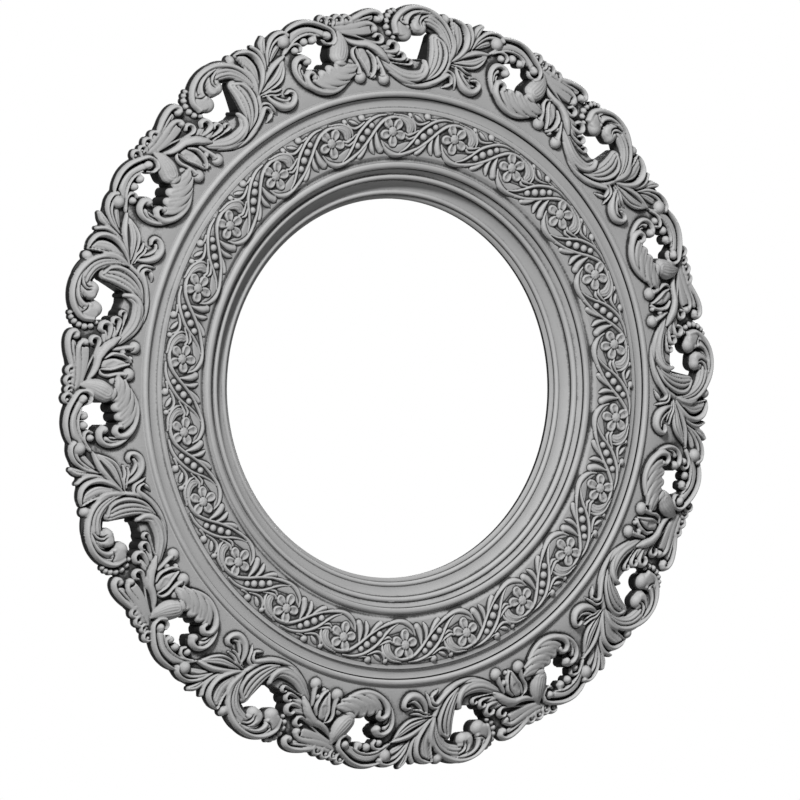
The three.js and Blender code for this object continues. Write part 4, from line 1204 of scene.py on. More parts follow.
def grow(
    name: str,
    start: Mesh,
    tree: NodeTree | None,
    values: dict[str, Any],
    arris: float = 0.0,
) -> Object:
    """Runs a geometry tree on a mesh and keeps its result as a plain object.

    Args:
        name: the object's name.
        start: the mesh that the tree starts from.
        tree: the geometry tree, or None where only the arrises are rounded.
        values: the tree's inputs by name.
        arris: how wide the sharp edges are rounded.

    Returns:
        The object, with no modifier.
    """
    made = put(name, start)
    if tree:
        modifier = made.modifiers.new("shape", "NODES")
        modifier.node_group = tree
        for item in tree.interface.items_tree:
            if item.in_out == "INPUT" and item.name in values:
                modifier[item.identifier] = values[item.name]
    if arris:
        rounded = made.modifiers.new("arris", "BEVEL")
        rounded.width = arris
        rounded.segments = 2
        rounded.limit_method = "ANGLE"
        rounded.angle_limit = math.radians(ARRIS_ANGLE)
    graph = bpy.context.evaluated_depsgraph_get()
    result = bpy.data.meshes.new_from_object(made.evaluated_get(graph))
    made.modifiers.clear()
    made.data = result
    result.name = name
    result.shade_smooth()
    result.set_sharp_from_angle(angle=math.radians(EDGE_ANGLE))
    return made


@dataclass(frozen=True)
class Run:
    """A member of a moulding: its kind, its end corner in millimetres and its bow over its chord."""

    kind: Member
    radius: float
    height: float
    bow: float = 0.0


def flat(radius: float, height: float) -> Run:
    """A straight member."""
    return Run(Member.FILLET, radius, height)


def bead(radius: float, height: float, bow: float) -> Run:
    """A member that swells."""
    return Run(Member.BEAD, radius, height, bow)


def cove(radius: float, height: float, bow: float) -> Run:
    """A member that is hollowed out."""
    return Run(Member.COVE, radius, height, -bow)


def profile_points(start: Pair, runs: tuple[Run, ...], steps: int = 10) -> Line:
    """The corners of a moulding's profile.

    Args:
        start: its first (radius, height) corner in millimetres.
        runs: its members in order.
        steps: how many pieces an arc is cut into.

    Returns:
        The profile's corners in order, in millimetres.
    """
    corners = [start]
    for run in runs:
        (ax, ay), (bx, by) = corners[-1], (run.radius, run.height)
        if run.kind is Member.FILLET:
            corners.append((bx, by))
            continue
        half = 2 * math.atan(2 * run.bow)
        size = 0.5 / math.sin(half)
        for i in range(1, steps + 1):
            turn = half * (2 * i / steps - 1)
            along = 0.5 + size * math.sin(turn)
            off = size * (math.cos(turn) - math.cos(half))
            x = ax + (bx - ax) * along - (by - ay) * off
            y = ay + (by - ay) * along + (bx - ax) * off
            corners.append((x, y))
    return corners


def drawing(name: str, *lines: Line, closed: bool = True) -> Mesh:
    """Lines through points of a plane, given in millimetres, as a mesh of edges.

    Args:
        name: the mesh's name.
        lines: the lines.
        closed: whether each ends where it began.

    Returns:
        The mesh.
    """
    made = bpy.data.meshes.new(name)
    points, edges = [], []
    for line in lines:
        first, count = len(points), len(line)
        edges += [(first + i, first + (i + 1) % count) for i in range(count if closed else count - 1)]
        points += [(x * MM, y * MM, 0) for x, y in line]
    made.from_pydata(points, edges, [])
    return made


def profile_mesh(name: str, corners: Line, radius: float, closed: bool = True) -> Mesh:
    """A profile of (radius, height) corners in millimetres, drawn round a path of a radius in metres."""
    return drawing(name, [(r - radius / MM, -h) for r, h in corners], closed=closed)


def arc(x: float, y: float, radius: float, start: float, end: float, steps: int = 24) -> Line:
    """Points on an arc from one angle to another, in degrees."""
    turns = [math.radians(start + (end - start) * i / steps) for i in range(steps + 1)]
    return [(x + radius * math.cos(turn), y + radius * math.sin(turn)) for turn in turns]


def bored(x: float, radius: float, steps: int = 24) -> Line:
    """Points all round a hole."""
    return arc(x, 0, radius, 0, 360 - 360 / steps, steps - 1)


def on_ring(radius: float, degrees: float) -> Vector:
    """The place at a radius in millimetres, some degrees clockwise from the top, in metres."""
    turn = math.radians(degrees)
    return Vector((radius * math.sin(turn) * MM, 0, radius * math.cos(turn) * MM))


def corner_array(mesh: Mesh) -> Array:
    """A mesh's corners as rows of three numbers."""
    places = np.empty(len(mesh.vertices) * 3, np.float32)
    mesh.vertices.foreach_get("co", places)
    return places.reshape(-1, 3)


def linear(colour: Triple) -> tuple[float, float, float, float]:
    """A colour as seen on a screen, as the shader takes it."""
    return (*(((c + 0.055) / 1.055) ** 2.4 if c > 0.04045 else c / 12.92 for c in colour), 1.0)


class Surface(Nodes):
    """A material in the making, with its Principled shader and the place on the object."""

    def __init__(self, name: str) -> None:
        """Starts the material.

        Args:
            name: the material's name.
        """
        self.material = bpy.data.materials.new(name)
        super().__init__(emptied(self.material))
        self.shader = self.add("ShaderNodeBsdfPrincipled")
        self.add("ShaderNodeOutputMaterial", {"Surface": self.shader.outputs[0]})
        self.place = self.add("ShaderNodeTexCoord").outputs["Object"]

    def group(self, name: str, inputs: dict[str, Any]) -> Any:
        """The results of one of the shared groups."""
        return self.add("ShaderNodeGroup", inputs, node_tree=Groups.get(name)).outputs

    def end(self, colour: Any, rough: Any, height: Any, bump: Pair, **fixed: float) -> Any:
        """Links the shader's inputs.

        Args:
            colour, rough, height: the outputs for its colour, roughness and bump.
            bump: the bump's strength and its distance in metres.
            fixed: values of further inputs, with an underscore for each space.

        Returns:
            The material.
        """
        bumped = self.add("ShaderNodeBump", {"Height": height, "Strength": bump[0], "Distance": bump[1]})
        for label, socket in (("Base Color", colour), ("Roughness", rough), ("Normal", bumped.outputs[0])):
            self.tree.links.new(socket, self.shader.inputs[label])
        for label, value in fixed.items():
            self.shader.inputs[label.replace("_", " ")].default_value = value
        return self.material


class Groups:
    """The shader effects that several finishes share, each built once."""

    kept: dict[str, NodeTree] = {}

    @classmethod
    def get(cls, name: str) -> NodeTree:
        """The group of that name, built at its first use."""
        if name not in cls.kept:
            cls.kept[name] = getattr(cls, name)()
        return cls.kept[name]

    @staticmethod
    def round_the_frame() -> NodeTree:
        """Coordinates that follow the ring: slow along it and quick across it, with no seam.

        Returns:
            The group.
        """
        sockets = {"Vector": "Vector", "Along": "Float", "Across": "Float"}
        tree = Tree("round the frame", "ShaderNodeTree", sockets, {"Vector": "Vector"})
        x, y, z = tree.split(tree.given["Vector"])
        level = tree.vector(X=x, Y=z)
        radius = tree.vector_math("LENGTH", level)["Value"]
        inputs = {0: tree.vector_math("NORMALIZE", level)[0], "Scale": tree.given["Along"]}
        slow = tree.split(tree.add("ShaderNodeVectorMath", inputs, operation="SCALE").outputs[0])
        across = tree.math("MULTIPLY", tree.math("SUBTRACT", radius, y), tree.given["Across"])
        return tree.end(tree.vector(X=slow[0], Y=slow[1], Z=across))

    @staticmethod
    def worn_paint() -> NodeTree:
        """Crests lightened (rubbed paint, painted highlight), hollows darkened (painted shade) by depth,
        with mottling.

        Returns:
            The group.
        """
        sockets = {"Vector": "Vector", "Hollow": "Float", "Patches": "Float"}
        results = {"RubbedHighlight": "Float", "PaintedShade": "Float", "Mottle": "Float"}
        tree = Tree("worn paint", "ShaderNodeTree", sockets, results)
        patches = tree.noise(tree.given["Vector"], tree.given["Patches"], 5.0, Roughness=0.6)
        fine = tree.noise(tree.given["Vector"], 420.0, 4.0, Roughness=0.65)
        broken = tree.math("MULTIPLY_ADD", tree.math("SUBTRACT", fine, 0.5), 0.35, tree.given["Hollow"])
        patched = tree.math("MULTIPLY_ADD", tree.math("SUBTRACT", patches, 0.5), 0.3, broken)
        # The first mask lightens crests as rubbed paint and painted highlight, the second darkens hollows as
        # painted shade
        rubbed_highlight, shade_and_grain = tree.ramp(patched, 0.66, 0.98), tree.ramp(patched, 0.46, 0.16)
        mottle = tree.math("ADD", tree.math("MULTIPLY", patches, 0.6), tree.math("MULTIPLY", fine, 0.4))
        return tree.end(rubbed_highlight, shade_and_grain, mottle)

    @staticmethod
    def fine_grain() -> NodeTree:
        """Fibres and fine scratches as a height and a mask.

        Returns:
            The group.
        """
        sockets = {"Vector": "Vector", "Scale": "Float"}
        tree = Tree("fine grain", "ShaderNodeTree", sockets, {"Height": "Float", "Lines": "Float"})
        place = tree.given["Vector"]
        warp = tree.add("ShaderNodeTexNoise", {"Vector": place, "Scale": 0.8, "Detail": 2.0}).outputs[1]
        bent = tree.vector_math("MULTIPLY_ADD", warp, (0.6, 0.6, 0.6), place)[0]
        fibres = tree.noise(bent, tree.given["Scale"], 6.0, Roughness=0.7)
        return tree.end(fibres, tree.ramp(fibres, 0.56, 0.7))


@dataclass(frozen=True)
class Paint:
    """Matt paint on wood: rubbed and painted highlight on crests, painted shade in hollows and on cut walls.
    """

    name: str
    slot: str
    colour: Triple
    # The pale tone: rubbed paint and painted highlight on crests. The dark one: painted shade in hollows,
    # and grain lines
    rubbed_highlight: Triple
    shade_and_grain: Triple
    turned: bool
    # Near black painted shade on walls that are cut
    cut_wall: tuple[float, float, float, float] = (0.006, 0.006, 0.006, 1.0)
    patches: float = 26.0
    brush: Triple = (40.0, 60.0, 260.0)
    bristles: float = 2.2

    def material(self) -> Material:
        """Builds the material.

        Returns:
            The material.
        """
        nodes = Surface(self.name)
        hollow = nodes.add("ShaderNodeAttribute", attribute_name="hollow").outputs["Fac"]
        wear_and_shade = nodes.group("worn_paint", {"Vector": nodes.place, "Hollow": hollow, "Patches": self.patches})
        if self.turned:
            inputs = {"Vector": nodes.place, "Along": 3.0, "Across": self.brush[2]}
            along = nodes.group("round_the_frame", inputs)[0]
        else:
            along = nodes.vector_math("MULTIPLY", nodes.place, self.brush)[0]
        grain = nodes.group("fine_grain", {"Vector": along, "Scale": self.bristles})
        colour, rubbed_highlight, shade_and_grain = linear(self.colour), linear(self.rubbed_highlight), linear(self.shade_and_grain)
        tone = nodes.blend(nodes.ramp(wear_and_shade["Mottle"], 0.3, 0.7), colour, rubbed_highlight)
        tone = nodes.blend(nodes.math("MULTIPLY", wear_and_shade["Mottle"], 0.35), colour, tone)
        # Crests take the pale tone: rubbed paint and painted highlight
        tone = nodes.blend(nodes.math("MULTIPLY", wear_and_shade["RubbedHighlight"], 0.7), tone, rubbed_highlight)
        tone = nodes.blend(nodes.math("MULTIPLY", grain["Lines"], 0.12), tone, shade_and_grain)
        in_front = nodes.math("MULTIPLY", nodes.ramp(nodes.split(nodes.place)["Y"], -0.0001, -0.0006), 0.9)
        # Painted shade: hollows on the front are darkened towards the dark tone
        tone = nodes.blend(nodes.math("MULTIPLY", wear_and_shade["PaintedShade"], in_front), tone, shade_and_grain)
        facing = nodes.add("ShaderNodeNewGeometry").outputs["True Normal"]
        upright = nodes.math("ABSOLUTE", nodes.split(facing)["Y"])
        # Painted shade: walls that stand across the front and lie low go near black
        cut = nodes.math("MULTIPLY", nodes.ramp(upright, 0.35, 0.12), nodes.ramp(hollow, 0.52, 0.3))
        tone = nodes.blend(nodes.math("MULTIPLY", cut, in_front), tone, self.cut_wall)
        rough = nodes.ramp(wear_and_shade["Mottle"], 0.2, 0.8, 0.46, 0.62)
        height = nodes.math("MULTIPLY_ADD", grain["Height"], 0.6, wear_and_shade["Mottle"])
        return nodes.end(tone, rough, height, (0.5, 0.0003), Specular_IOR_Level=0.03)


@dataclass(frozen=True)
class Wood:
    """Bare wood with its grain along one direction of the piece.

    rings is how many light and dark bands together lie in a metre across the grain, and turn is how far
    the grain is turned from level.
    """

    name: str
    slot: str
    light: Triple
    dark: Triple
    stretch: Triple
    rings: float
    turn: float = 0.0
    fibres: float = 14.0
    sway: float = 15.0

    def material(self) -> Material:
        """Builds the material.

        Returns:
            The material.
        """
        nodes = Surface(self.name)
        inputs = {"Vector": nodes.place, "Angle": self.turn}
        along = nodes.add("ShaderNodeVectorRotate", inputs, rotation_type="Y_AXIS").outputs[0]
        stretched = nodes.vector_math("MULTIPLY", along, self.stretch)[0]
        grain = nodes.group("fine_grain", {"Vector": stretched, "Scale": self.fibres})
        swayed = nodes.math("MULTIPLY", nodes.noise(stretched, 0.4, 2.0), self.sway)
        wavy = nodes.math("MULTIPLY_ADD", nodes.split(along)["Z"], self.rings, swayed)
        late = nodes.ramp(nodes.math("PINGPONG", wavy, 1.0), 0.3, 1.0)
        figure = nodes.math("MULTIPLY_ADD", grain["Height"], 0.6, nodes.math("MULTIPLY", late, 0.4))
        tone = nodes.blend(nodes.ramp(figure, 0.2, 0.85), linear(self.light), linear(self.dark))
        rough = nodes.ramp(figure, 0.1, 0.9, 0.62, 0.8)
        return nodes.end(tone, rough, figure, (0.5, 0.0003), Specular_IOR_Level=0.35)


@dataclass(frozen=True)
class Metal:
    """Sheet, wire or turned metal, dulled unevenly and finely scratched."""

    name: str
    slot: str
    colour: Triple
    tarnish: Triple
    stretch: Triple
    rough: Pair
    scratches: float = 4.0
    clouds: float = 160.0

    def material(self) -> Material:
        """Builds the material.

        Returns:
            The material.
        """
        nodes = Surface(self.name)
        stretched = nodes.vector_math("MULTIPLY", nodes.place, self.stretch)[0]
        grain = nodes.group("fine_grain", {"Vector": stretched, "Scale": self.scratches})["Height"]
        stain = nodes.ramp(nodes.noise(nodes.place, self.clouds, 5.0), 0.45, 0.72)
        tone = nodes.blend(stain, linear(self.colour), linear(self.tarnish))
        mixed = nodes.math("MULTIPLY_ADD", grain, 0.5, nodes.math("MULTIPLY", stain, 0.5))
        return nodes.end(tone, nodes.ramp(mixed, 0.1, 0.9, *self.rough), grain, (0.3, 0.00008), Metallic=1.0)


@dataclass(frozen=True)
class Felt:
    """Pressed wool."""

    name: str
    slot: str
    colour: Triple
    fluff: Triple
    fibres: float = 2600.0
    clumps: float = 420.0

    def material(self) -> Material:
        """Builds the material.

        Returns:
            The material.
        """
        nodes = Surface(self.name)
        fibre = nodes.noise(nodes.place, self.fibres, 5.0, Distortion=1.2)
        clump = nodes.noise(nodes.place, self.clumps, 3.0)
        mixed = nodes.math("MULTIPLY_ADD", fibre, 0.6, nodes.math("MULTIPLY", clump, 0.4))
        tone = nodes.blend(nodes.ramp(mixed, 0.35, 0.65), linear(self.colour), linear(self.fluff))
        return nodes.end(tone, nodes.ramp(mixed, 0.3, 0.7, 0.9, 1.0), mixed, (0.8, 0.0004), Sheen_Weight=0.3)


Finish = Paint | Wood | Metal | Felt
# PALE_GREY goes on crests as rubbed paint and painted highlight
GREY = (0.61, 0.61, 0.61)
PALE_GREY = (0.69, 0.69, 0.69)
# The third colour of each paint is its painted shade in hollows and the tone of its grain lines
PAINTED_WOOD = Paint(
    "grey paint on carved wood", "painted_wood", GREY, PALE_GREY, (0.13, 0.13, 0.13), turned=False
)
PAINTED_MOULDING = Paint(
    "grey paint on turned wood", "painted_moulding", GREY, PALE_GREY, (0.2, 0.2, 0.2), turned=True
)
PINE = Wood("planed pine", "bare_wood", (0.8, 0.67, 0.48), (0.66, 0.49, 0.3), (2.2, 22.0, 22.0), 150.0)
OAK = Wood("oak", "hardwood", (0.47, 0.33, 0.2), (0.31, 0.2, 0.12), (7.0, 60.0, 60.0), 500.0)
BRASS = Metal(
    "dulled brass", "brass", (0.78, 0.64, 0.36), (0.55, 0.43, 0.24), (60.0, 60.0, 700.0), (0.28, 0.5)
)
STEEL = Metal(
    "zinc plate", "steel", (0.72, 0.73, 0.75), (0.55, 0.57, 0.6), (500.0, 500.0, 60.0), (0.26, 0.46)
)
WOOL_FELT = Felt("wool felt", "felt", (0.2, 0.19, 0.18), (0.3, 0.29, 0.27))


@dataclass
class Workshop:
    """Puts finished pieces on the frame and keeps each finish's one material."""

    made: dict[str, Material] = field(default_factory=dict)

    def material(self, finish: Finish) -> Material:
        """The finish's material, built at its first use."""
        if finish.name not in self.made:
            self.made[finish.name] = finish.material()
        return self.made[finish.name]

    def mount(self, piece: Object, finish: Finish, body: str, *nodes: str) -> None:
        """Dresses a piece, sets it on its body and lets it stand for its CAD nodes.

        Args:
            piece: the piece, in place.
            finish: its finish.
            body: the body that it rides on.
            nodes: the CAD nodes that it replaces.
        """
        piece.data.materials.clear()
        piece.data.materials.append(self.material(finish))
        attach(piece, body)
        if nodes:
            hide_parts(*nodes)
        log.info("%s: %d faces on %s", piece.name, len(piece.data.polygons), body)

    def set_round(self, carved: Mesh, name: str, first: float, count: int) -> None:
        """Sets so many copies of a carved piece round the frame.

        Args:
            carved: the piece, carved with its middle straight up.
            name: the CAD nodes' name before their number.
            first: the degrees by which the first copy is turned.
            count: how many copies there are.
        """
        for i in range(count):
            mesh = carved.copy()
            mesh.transform(Matrix.Rotation(math.radians(first + i * 360 / count), 4, "Y"))
            node = f"{name}_{i + 1}"
            self.mount(put(f"carved_{node}", mesh), PAINTED_WOOD, "frame", node)


@dataclass
class CarvedBorder:
    """The pierced outer border in nine equal carved sections."""

    sections: int = 9
    first_bead: float = 10.893
    joint: float = 20.8
    inner: float = 299.12
    outer: float = 391.0
    recess: float = 323.09
    recess_height: float = 10.42
    open_rim: float = 366.0
    rim_height: float = 3.5
    inner_height: float = 24.5
    fall: float = 88.0
    cell: float = 0.62

    def grid_radii(self) -> Array:
        """Rows of the grid, one of which lies on the edge of the recess for the core."""
        low = np.linspace(self.inner, self.recess, round((self.recess - self.inner) / self.cell) + 1)
        high = np.linspace(self.recess, self.outer, round((self.outer - self.recess) / self.cell) + 1)
        return np.concatenate([low, high[1:]])

    def ground(self, radius: Array) -> Array:
        """The web's height before carving."""
        share = np.clip((radius - self.inner) / self.fall, 0, 1)
        return self.rim_height + (self.inner_height - self.rim_height) * (1 + np.cos(np.pi * share)) / 2

    def web(self, x: Array, y: Array) -> Array:
        """A field that is positive where the web under the strokes has wood.

        Args:
            x, y: the points.

        Returns:
            The field at each point.
        """
        pitch = 360 / self.sections
        rim = [spot for k in range(-2, 3) for spot in turned_points(RIM, k * pitch)]
        rim.sort(key=lambda spot: math.atan2(*spot))
        turns = [math.atan2(*spot) for spot in rim]
        reach = [math.hypot(*spot) for spot in rim]
        field_here = np.interp(np.arctan2(x, y), turns, reach) - np.hypot(x, y)
        for turn in (-pitch, 0, pitch):
            for opening in (WIDE_OPENING, SMALL_OPENING):
                field_here = np.minimum(field_here, -inside_line(turned_points(opening, turn), x, y))
        return field_here

    def build(self, shop: Workshop) -> None:
        """Carves one section and sets its copies round the frame.

        Args:
            shop: the workshop.
        """
        pitch = 360 / self.sections
        slack = math.degrees(JOINT / STEP / self.inner) / 2
        width = math.radians(pitch) * (self.inner + self.recess) / 2
        relief = Relief(
            BORDER_STROKES, self.joint - pitch + slack, self.joint - slack,
            self.grid_radii(), round(width / self.cell) + 1, set_in=1.6,
        )
        radius = np.hypot(relief.x, relief.y)
        ground = self.ground(radius)
        height, wood = relief.carve(ground, (-pitch, 0, pitch))
        wood = np.maximum(wood, self.web(relief.x, relief.y))
        row = int(np.argmin(np.abs(relief.radii - self.recess)))
        plate = CarvedPlate(relief, height, wood, row, self.recess_height, 0.0, self.open_rim)
        shop.set_round(plate.build("border section"), "border_section", self.first_bead, self.sections)


@dataclass
class FlowerFrieze:
    """The cushion-shaped frieze in eleven panels of two flowers."""

    panels: int = 11
    flowers: int = 2
    first_flower: float = 15.0
    inner: float = 226.57
    outer: float = 276.57
    seat: float = 10.42
    edge_height: float = 28.2
    crest_height: float = 31.0
    bevel: Pair = (2.0, 7.0)
    shoulder: float = 11.0
    cell: float = 0.5

    def ground(self, radius: Array) -> Array:
        """The cushion's height before carving: a bevel at its inner edge and a rounded outer shoulder.

        Args:
            radius: the radii.

        Returns:
            The height at each radius.
        """
        low, high = self.bevel
        climb = np.clip((radius - self.inner - low) / (high - low), 0, 1)
        inner_fall = 1 - climb * climb * (3 - 2 * climb)
        outer_fall = np.clip(1 - (self.outer - radius) / self.shoulder, 0, 1) ** 2
        return self.crest_height - (self.crest_height - self.edge_height) * (inner_fall + outer_fall)

    def build(self, shop: Workshop) -> None:
        """Carves one panel and sets its copies round the frame.

        Args:
            shop: the workshop.
        """
        pitch = 360 / self.panels / self.flowers
        slack = math.degrees(JOINT / STEP / self.inner) / 2
        panel = 360 / self.panels
        width = math.radians(panel) * (self.inner + self.outer) / 2
        radii = np.linspace(self.inner, self.outer, round((self.outer - self.inner) / self.cell) + 1)
        relief = Relief(
            FRIEZE_STROKES, -panel / 2 + slack, panel / 2 - slack, radii, round(width / self.cell) + 1,
            set_in=0.8, shading=3.3,
        )
        turns = tuple((k + 0.5) * pitch for k in range(-self.flowers, self.flowers))
        height, wood = relief.carve(self.ground(np.hypot(relief.x, relief.y)), turns)
        plate = CarvedPlate(relief, height, np.ones_like(height), len(radii), self.seat, self.seat)
        middle = self.first_flower + (0.5 - 0.5 / self.flowers) * panel
        shop.set_round(plate.build("frieze panel"), "frieze_panel", middle, self.panels)


@dataclass
class TurnedMouldings:
    """The turned rings inside and outside the frieze, and the ring that walls the mirror's rebate."""

    steps: int = 360
    path: float = 0.3
    samples: int = 200
    window: int = 20
    middle_shade: float = 0.58
    relief: float = 3.6

    def sight_ring(self) -> Line:
        """Lip, small bead, hollow and ridge, with the glass's seat behind.

        Returns:
            The profile's corners.
        """
        return profile_points((223.75, 9.5), (
            flat(223.75, 13.8), bead(227.8, 16.4, 0.12), flat(228.9, 16.0), flat(229.1, 17.8),
            bead(234.2, 18.8, 0.48), cove(245.6, 24.2, 0.125), flat(246.5, 24.6), flat(246.7, 28.0),
            bead(251.8, 30.0, 0.36), flat(251.8, 8.0), flat(230.05, 8.0), flat(230.05, 9.5),
        ))

    def rebate_ring(self) -> Line:
        """A plain ring with its arrises taken off."""
        return profile_points((230.4, 0), (
            flat(230.05, 0.35), flat(230.05, 7.7), flat(251.75, 7.7), flat(251.75, 0.35), flat(251.4, 0),
        ))

    def inner_moulding(self) -> Line:
        """A fillet that climbs to the tall bead.

        Returns:
            The profile's corners.
        """
        return profile_points((252.05, 12.3), (
            flat(252.05, 29.8), flat(252.5, 28.6), flat(252.7, 27.6), flat(258.2, 31.6), flat(259.5, 31.4),
            flat(259.7, 34.4), bead(266.5, 34.8, 0.54), flat(266.7, 33.2), flat(267.05, 33.2),
            flat(267.05, 12.3),
        ))

    def outer_moulding(self) -> Line:
        """A flat step, a cove and the bead.

        Returns:
            The profile's corners.
        """
        return profile_points((326.65, 12.3), (
            flat(326.65, 33.3), flat(331.0, 32.6), flat(331.5, 29.8), cove(342.6, 28.8, 0.125),
            flat(342.9, 27.4), flat(344.1, 27.4), flat(344.3, 31.2), bead(350.7, 31.0, 0.52),
            flat(350.9, 28.8), flat(352.85, 28.8), flat(352.85, 12.3),
        ))

    def build(self, shop: Workshop, tree: NodeTree) -> None:
        """Turns the four rings.

        Args:
            shop: the workshop.
            tree: the tree for turned work.
        """
        for name, finish in (
            ("sight_ring", PAINTED_MOULDING),
            ("rebate_ring", PINE),
            ("inner_moulding", PAINTED_MOULDING),
            ("outer_moulding", PAINTED_MOULDING),
        ):
            corners = getattr(self, name)()
            start = profile_mesh(name, corners, self.path)
            values = {"Radius": self.path, "Steps": self.steps, "Finish": shop.material(finish)}
            piece = grow(f"turned_{name}", start, tree, values)
            self.shade(piece.data, corners)
            shop.mount(piece, finish, "frame", name)

    def shade(self, mesh: Mesh, corners: Line) -> None:
        """Marks how deep each corner lies between the profile's crests.

        Args:
            mesh: the ring's mesh.
            corners: its profile's corners.
        """
        spots = corner_array(mesh) / MM
        radius, height = np.hypot(spots[:, 0], spots[:, 2]), -spots[:, 1]
        line = np.array(corners)
        order = np.argsort(line[:, 0], kind="stable")
        sampled = np.linspace(line[:, 0].min(), line[:, 0].max(), self.samples)
        top = np.array([np.interp(r, line[order, 0], line[order, 1]) for r in sampled])
        kernel = np.ones(2 * self.window + 1) / (2 * self.window + 1)
        smooth = np.convolve(np.pad(top, self.window, mode="edge"), kernel, mode="valid")
        level = np.interp(radius, sampled, smooth)
        store_hollow(mesh, self.middle_shade + (height - level) / self.relief)


@dataclass
class Core:
    """The built-up core behind the mouldings and the keys across its joints."""

    segments: int = 5
    plate_arris: float = 0.0009
    key_arris: float = 0.0004

    @staticmethod
    def whole(node: Object) -> Mesh:
        """A copy of a CAD node's mesh with its corners merged and its flat faces made whole.

        Args:
            node: the CAD node.

        Returns:
            The mesh.
        """
        mesh = node.data.copy()
        work = bmesh.new()
        work.from_mesh(mesh)
        bmesh.ops.remove_doubles(work, verts=work.verts, dist=MERGE)
        bmesh.ops.dissolve_limit(work, angle_limit=math.radians(1), verts=work.verts, edges=work.edges)
        work.to_mesh(mesh)
        work.free()
        return mesh

    def build(self, shop: Workshop, frame: dict[str, Any]) -> None:
        """Planes the five plates and sets their keys, each with its grain along its own piece.

        Args:
            shop: the workshop.
        """
        for i in range(self.segments):
            turn = -2 * math.pi * i / self.segments
            plate = replace(PINE, name=f"planed pine {i + 1}", turn=turn)
            key = replace(OAK, name=f"oak key {i + 1}", turn=turn - math.pi / self.segments)
            for name, finish, arris in (
                (f"core_segment_{i + 1}", plate, self.plate_arris),
                (f"core_key_{i + 1}", key, self.key_arris),
            ):
                piece = grow(f"planed_{name}", self.whole(frame["nodes"][name]), None, {}, arris)
                shop.mount(piece, finish, "frame", name)


@dataclass
class Screws:
    """Slotted pan-head screws that enter the wood from behind."""

    shank: float = 1.8
    depth: float = 9.0
    head: float = 4.0
    head_height: float = 2.2
    slot_width: float = 0.9
    slot_depth: float = 1.1
    path: float = 0.02
    steps: int = 32
    tree: NodeTree = field(default_factory=screw_tree)

    def build(
        self, shop: Workshop, name: str, finish: Finish, place: Vector, seat: float, turn: float
    ) -> None:
        """Turns one screw.

        Args:
            shop: the workshop.
            name: the CAD node that it replaces.
            finish: its metal.
            place: where its axis meets the back plane, in metres.
            seat: how far behind the back plane its head begins, in millimetres.
            turn: how far its slot is turned from level, in degrees.
        """
        top = -seat - self.head_height
        corners = [
            (0.0, self.depth), (0.5, self.depth - 0.3), (self.shank, self.depth - 2.4), (self.shank, -seat),
            (self.head, -seat), (self.head - 0.04, -seat - 0.6), (self.head - 0.3, top + 0.9),
            (self.head - 0.8, top + 0.3), (self.head - 1.6, top + 0.05), (0.0, top),
        ]
        start = profile_mesh(name, corners, self.path, closed=False)
        values = {
            "Radius": self.path, "Steps": self.steps, "Finish": shop.material(finish), "Top": top * MM,
            "Slot": (3 * self.head * MM, self.slot_width * MM, 2 * self.slot_depth * MM),
        }
        piece = grow(f"turned_{name}", start, self.tree, values)
        piece.data.transform(Matrix.Translation(place) @ Matrix.Rotation(math.radians(turn), 4, "Y"))
        shop.mount(piece, finish, "frame", name)


@dataclass
class TurnButtons:
    """Round-ended brass plates that turn about their screws to hold the mirror in."""

    radius: float = 240.9
    angles: tuple[float, ...] = (45.0, 135.0, 225.0, 315.0)
    length: float = 34.0
    width: float = 12.0
    offset: float = 9.0
    thickness: float = 1.6
    gap: float = 0.3
    bore: float = 2.0
    arris: float = 0.00028
    slot_turn: float = 15.0
    slot_step: float = 70.0

    def build(self, shop: Workshop, screws: Screws) -> None:
        """Cuts the four buttons and turns their screws.

        Args:
            shop: the workshop.
            screws: the maker of the screws.
        """
        tree = plate_tree()
        end = self.width / 2
        far = arc(self.length - self.offset - end, 0, end, -90, 90)
        outline = far + arc(end - self.offset, 0, end, 90, 270)
        values = {"Thickness": self.thickness * MM, "Finish": shop.material(BRASS)}
        behind = Vector((0, self.gap * MM, 0))
        seat = 2 * self.gap + self.thickness
        for i, degrees in enumerate(self.angles):
            name = f"turn_button_{i + 1}"
            place = on_ring(self.radius, degrees)
            start = drawing(name, outline, bored(0, self.bore))
            piece = grow(f"cut_{name}", start, tree, values, self.arris)
            turn = Matrix.Rotation(math.radians(degrees), 4, "Y")
            piece.data.transform(Matrix.Translation(place + behind) @ turn)
            shop.mount(piece, BRASS, name, name)
            slot = degrees + self.slot_step * i + self.slot_turn
            screws.build(shop, f"pivot_screw_{i + 1}", BRASS, place, seat, slot)


